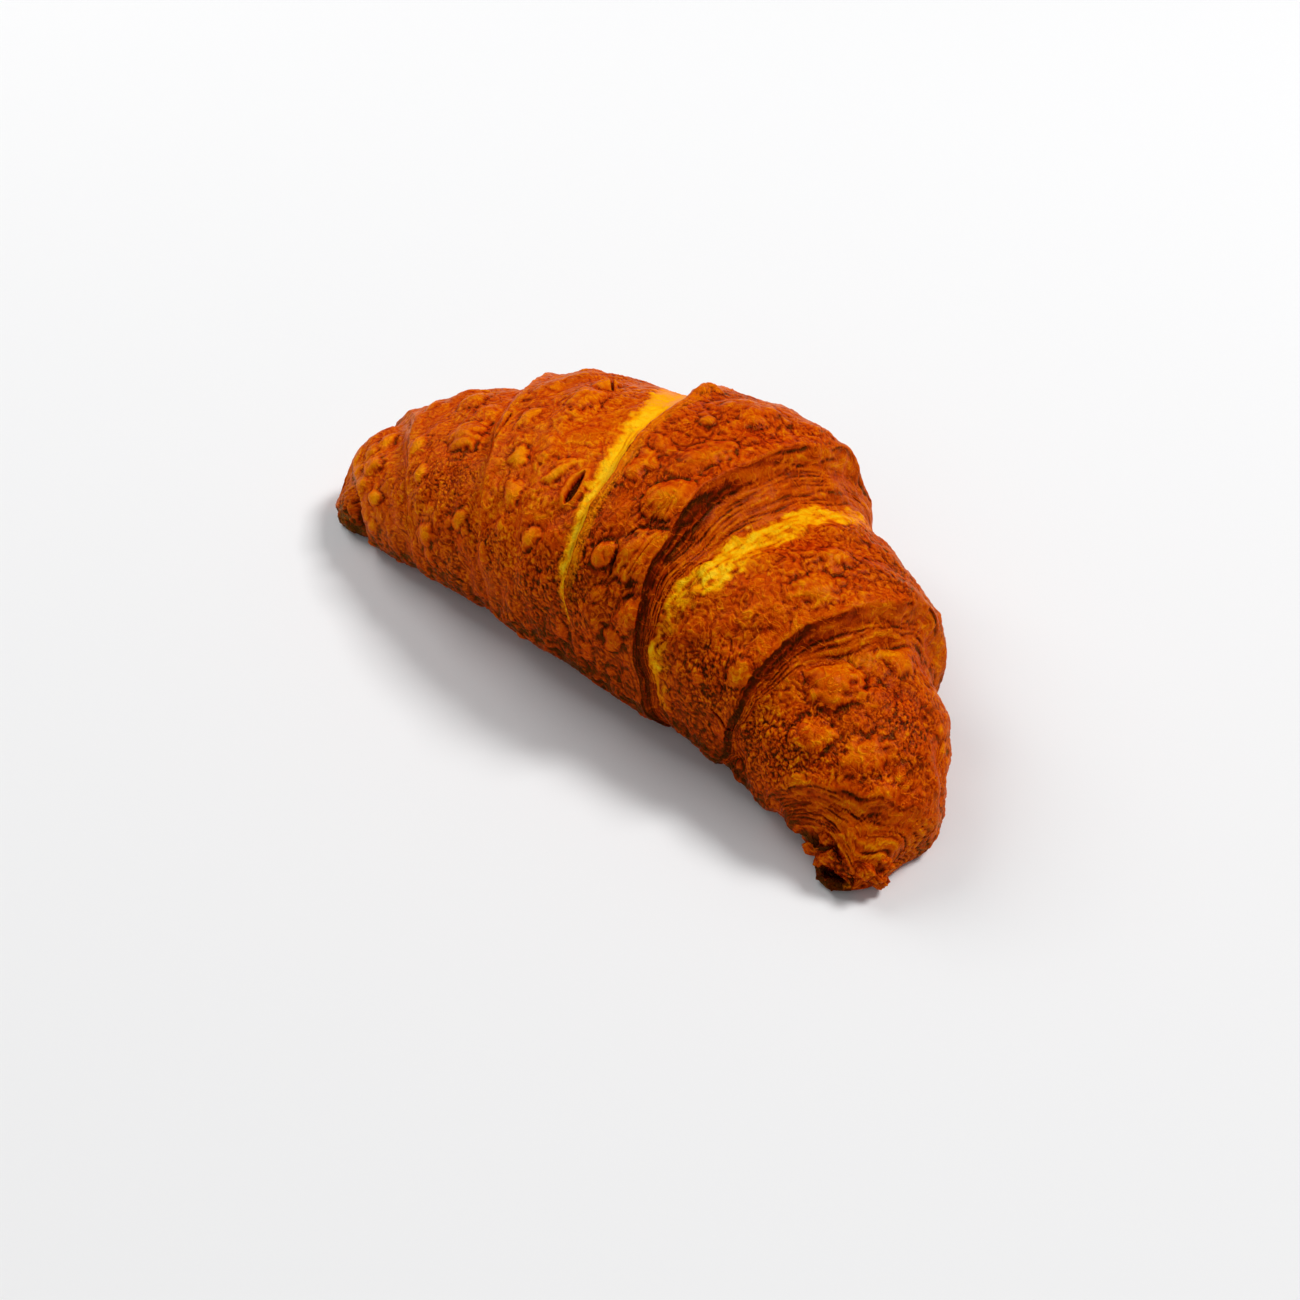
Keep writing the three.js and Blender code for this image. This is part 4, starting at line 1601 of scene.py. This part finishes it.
@dataclass
class CoreKnob:
    """The ragged lump of dough at the middle of the roll, which shows under the right cut face."""

    name: str = "right_core_knob"
    middle: tuple[float, float, float] = (77.8, -32.2, 4.6)
    half: tuple[float, float, float] = (9.2, 5.6, 5.4)
    turned: float = 4.0
    lump_mm: float = 4.2
    crumb_mm: float = 1.3
    leaf_mm: float = 4.0
    rings: int = 90
    spokes: int = 180
    seed: int = 29

    def build(self) -> bpy.types.Object:
        """Makes the lump as a ball of crags.

        Returns:
            The closed piece.
        """
        grain = Grain(self.seed)
        tilt = (np.arange(self.rings) + 0.5)[:, None] / self.rings * math.pi
        turn = (np.arange(self.spokes) / self.spokes * TURN)[None, :]
        upright = np.cos(tilt) + 0 * turn
        out = np.stack([np.sin(tilt) * np.cos(turn), np.sin(tilt) * np.sin(turn), upright], -1)
        out = np.concatenate([out.reshape(-1, 3), [[0, 0, 1.0], [0, 0, -1.0]]])
        c, s = math.cos(math.radians(self.turned)), math.sin(math.radians(self.turned))
        spread = np.array([[c, s, 0], [-s, c, 0], [0, 0, 1.0]])
        points = (out * np.array(self.half)) @ spread
        bent = grain.bend(points, 2.6, 0.8)
        lump = grain.mounds(bent, self.lump_mm, 0.5) - 0.6
        crumb = grain.mounds(bent + 20.0, self.crumb_mm, 0.35) - 0.5
        leaves = shingled(2.2 * grain.waves(bent + 9.0, self.leaf_mm, 2))
        raised = 1.3 * lump + 0.22 * crumb + 0.35 * leaves + 0.5 * grain.waves(points, 5.0, 2)
        points = points + (out @ spread) * raised[:, None] + np.array(self.middle)
        points[:, 2] = np.maximum(points[:, 2], 0)
        # Lighter on the lumps, crumbs and leaves and darker between them, as painted light and shade, and
        # darker towards the floor.
        bake_and_shade = 0.5 + 0.24 * lump + 0.2 * crumb + 0.3 * leaves
        flat = np.zeros(len(points))
        values = {
            "bake_and_shade": np.clip(bake_and_shade - 0.3 * (1 - rise(points[:, 2], 0.2, 2.6)), 0, 1),
            "pale": flat,
            "cut": flat,
            "rough": flat + 0.5,
            "film": np.clip(0.25 + 0.6 * leaves, 0, 1),
        }
        return make_mesh(self.name, points, tube_faces(self.rings, self.spokes, inwards=True), values)


@dataclass
class Croissant:
    """The croissant as its turns of dough, from left to right, and the knob under the last one."""

    skin: Skin = field(default_factory=Skin)
    knob: CoreKnob = field(default_factory=CoreKnob)
    turns: tuple[DoughTurn, ...] = (
        DoughTurn("left_core", 0, 1),
        DoughTurn("left_tip", 1, 3),
        DoughTurn("left_inner_turn", 3, 5),
        DoughTurn("left_outer_turn", 5, 7),
        DoughTurn("middle_turn", 7, 10),
        DoughTurn("right_outer_turn", 10, 12),
        DoughTurn("right_inner_turn", 12, 14),
        DoughTurn("right_core", 14, 15),
    )

    def build(self) -> list[bpy.types.Object]:
        """Makes every piece and dresses it.

        Returns:
            The pieces.
        """
        crust = EggWashedCrust().make()
        pieces = [*(turn.build(self.skin) for turn in self.turns), self.knob.build()]
        for piece in pieces:
            hand_over(piece, crust)
        return pieces


@dataclass
class PhotoCamera:
    """The camera, where the photograph was taken from. Its lens is given by the photo's pixels."""

    place_mm: tuple[float, float, float] = (181.46, -190.53, 224.99)
    azimuth: float = 44.69
    below_level: float = 42.225
    focal_pixels: float = 1500.0
    image_pixels: float = 1300.0
    sensor_mm: float = 36.0

    def build(self) -> bpy.types.Object:
        """Makes the camera and sets it as the scene's own."""
        data = bpy.data.cameras.new("photo_camera")
        data.sensor_width = self.sensor_mm
        data.lens = self.sensor_mm * self.focal_pixels / self.image_pixels
        data.clip_start, data.clip_end = 0.01, 20.0
        camera = bpy.data.objects.new("photo_camera", data)
        turned, down = math.radians(self.azimuth), math.radians(self.below_level)
        level = math.cos(down)
        ahead = Vector((-math.sin(turned) * level, math.cos(turned) * level, -math.sin(down)))
        camera.location = Vector(self.place_mm) * MM
        camera.rotation_euler = ahead.to_track_quat("-Z", "Y").to_euler()
        bpy.context.scene.collection.objects.link(camera)
        bpy.context.scene.camera = camera
        return camera


@dataclass(frozen=True)
class SoftBox:
    """A square lamp that points at the middle of the floor. Its place and size are in metres."""

    place: tuple[float, float, float]
    size: float
    watts: float


@dataclass
class Studio:
    """A plain pale floor under soft light, with the main softbox behind to the right.

    floor_size is in metres.
    """

    floor_size: float = 6.0
    sky_colour: str = "#fbfcff"
    sky: float = 0.19
    boxes: tuple[SoftBox, ...] = (
        SoftBox((0.54, 0.99, 1.53), 0.5, 25.0),
        SoftBox((-0.9, 0.0, 0.9), 0.8, 6.9),
        SoftBox((0.3, -1.0, 0.9), 1.0, 1.8),
    )

    def build(self) -> None:
        """Makes the floor, the softboxes and the light all round."""
        half = self.floor_size / 2 / MM
        corners = np.array([(-half, -half, 0), (half, -half, 0), (half, half, 0), (-half, half, 0)])
        floor = make_mesh("floor", corners, [np.array([[0, 1, 2, 3]])], {})
        floor.data.materials.append(SeamlessPaper().make())
        for i, box in enumerate(self.boxes):
            data = bpy.data.lights.new(f"softbox_{i + 1}", "AREA")
            data.shape, data.size, data.energy = "SQUARE", box.size, box.watts
            lamp = bpy.data.objects.new(data.name, data)
            lamp.location = box.place
            lamp.rotation_euler = (-Vector(box.place)).to_track_quat("-Z", "Y").to_euler()
            bpy.context.scene.collection.objects.link(lamp)
        world = bpy.data.worlds.new("light_tent")
        world.use_nodes = True
        sky = world.node_tree.nodes["Background"]
        sky.inputs["Color"].default_value = linear(self.sky_colour)
        sky.inputs["Strength"].default_value = self.sky
        bpy.context.scene.world = world
        bpy.context.scene.view_settings.view_transform = "Standard"


def main() -> None:
    """Builds the camera, the studio and the croissant in order."""
    logging.basicConfig(level=logging.INFO, format="%(message)s")
    PhotoCamera().build()
    Studio().build()
    pieces = Croissant().build()
    log.info("%d pieces", len(pieces))
    bpy.context.view_layer.update()


if __name__ == "__main__":
    main()
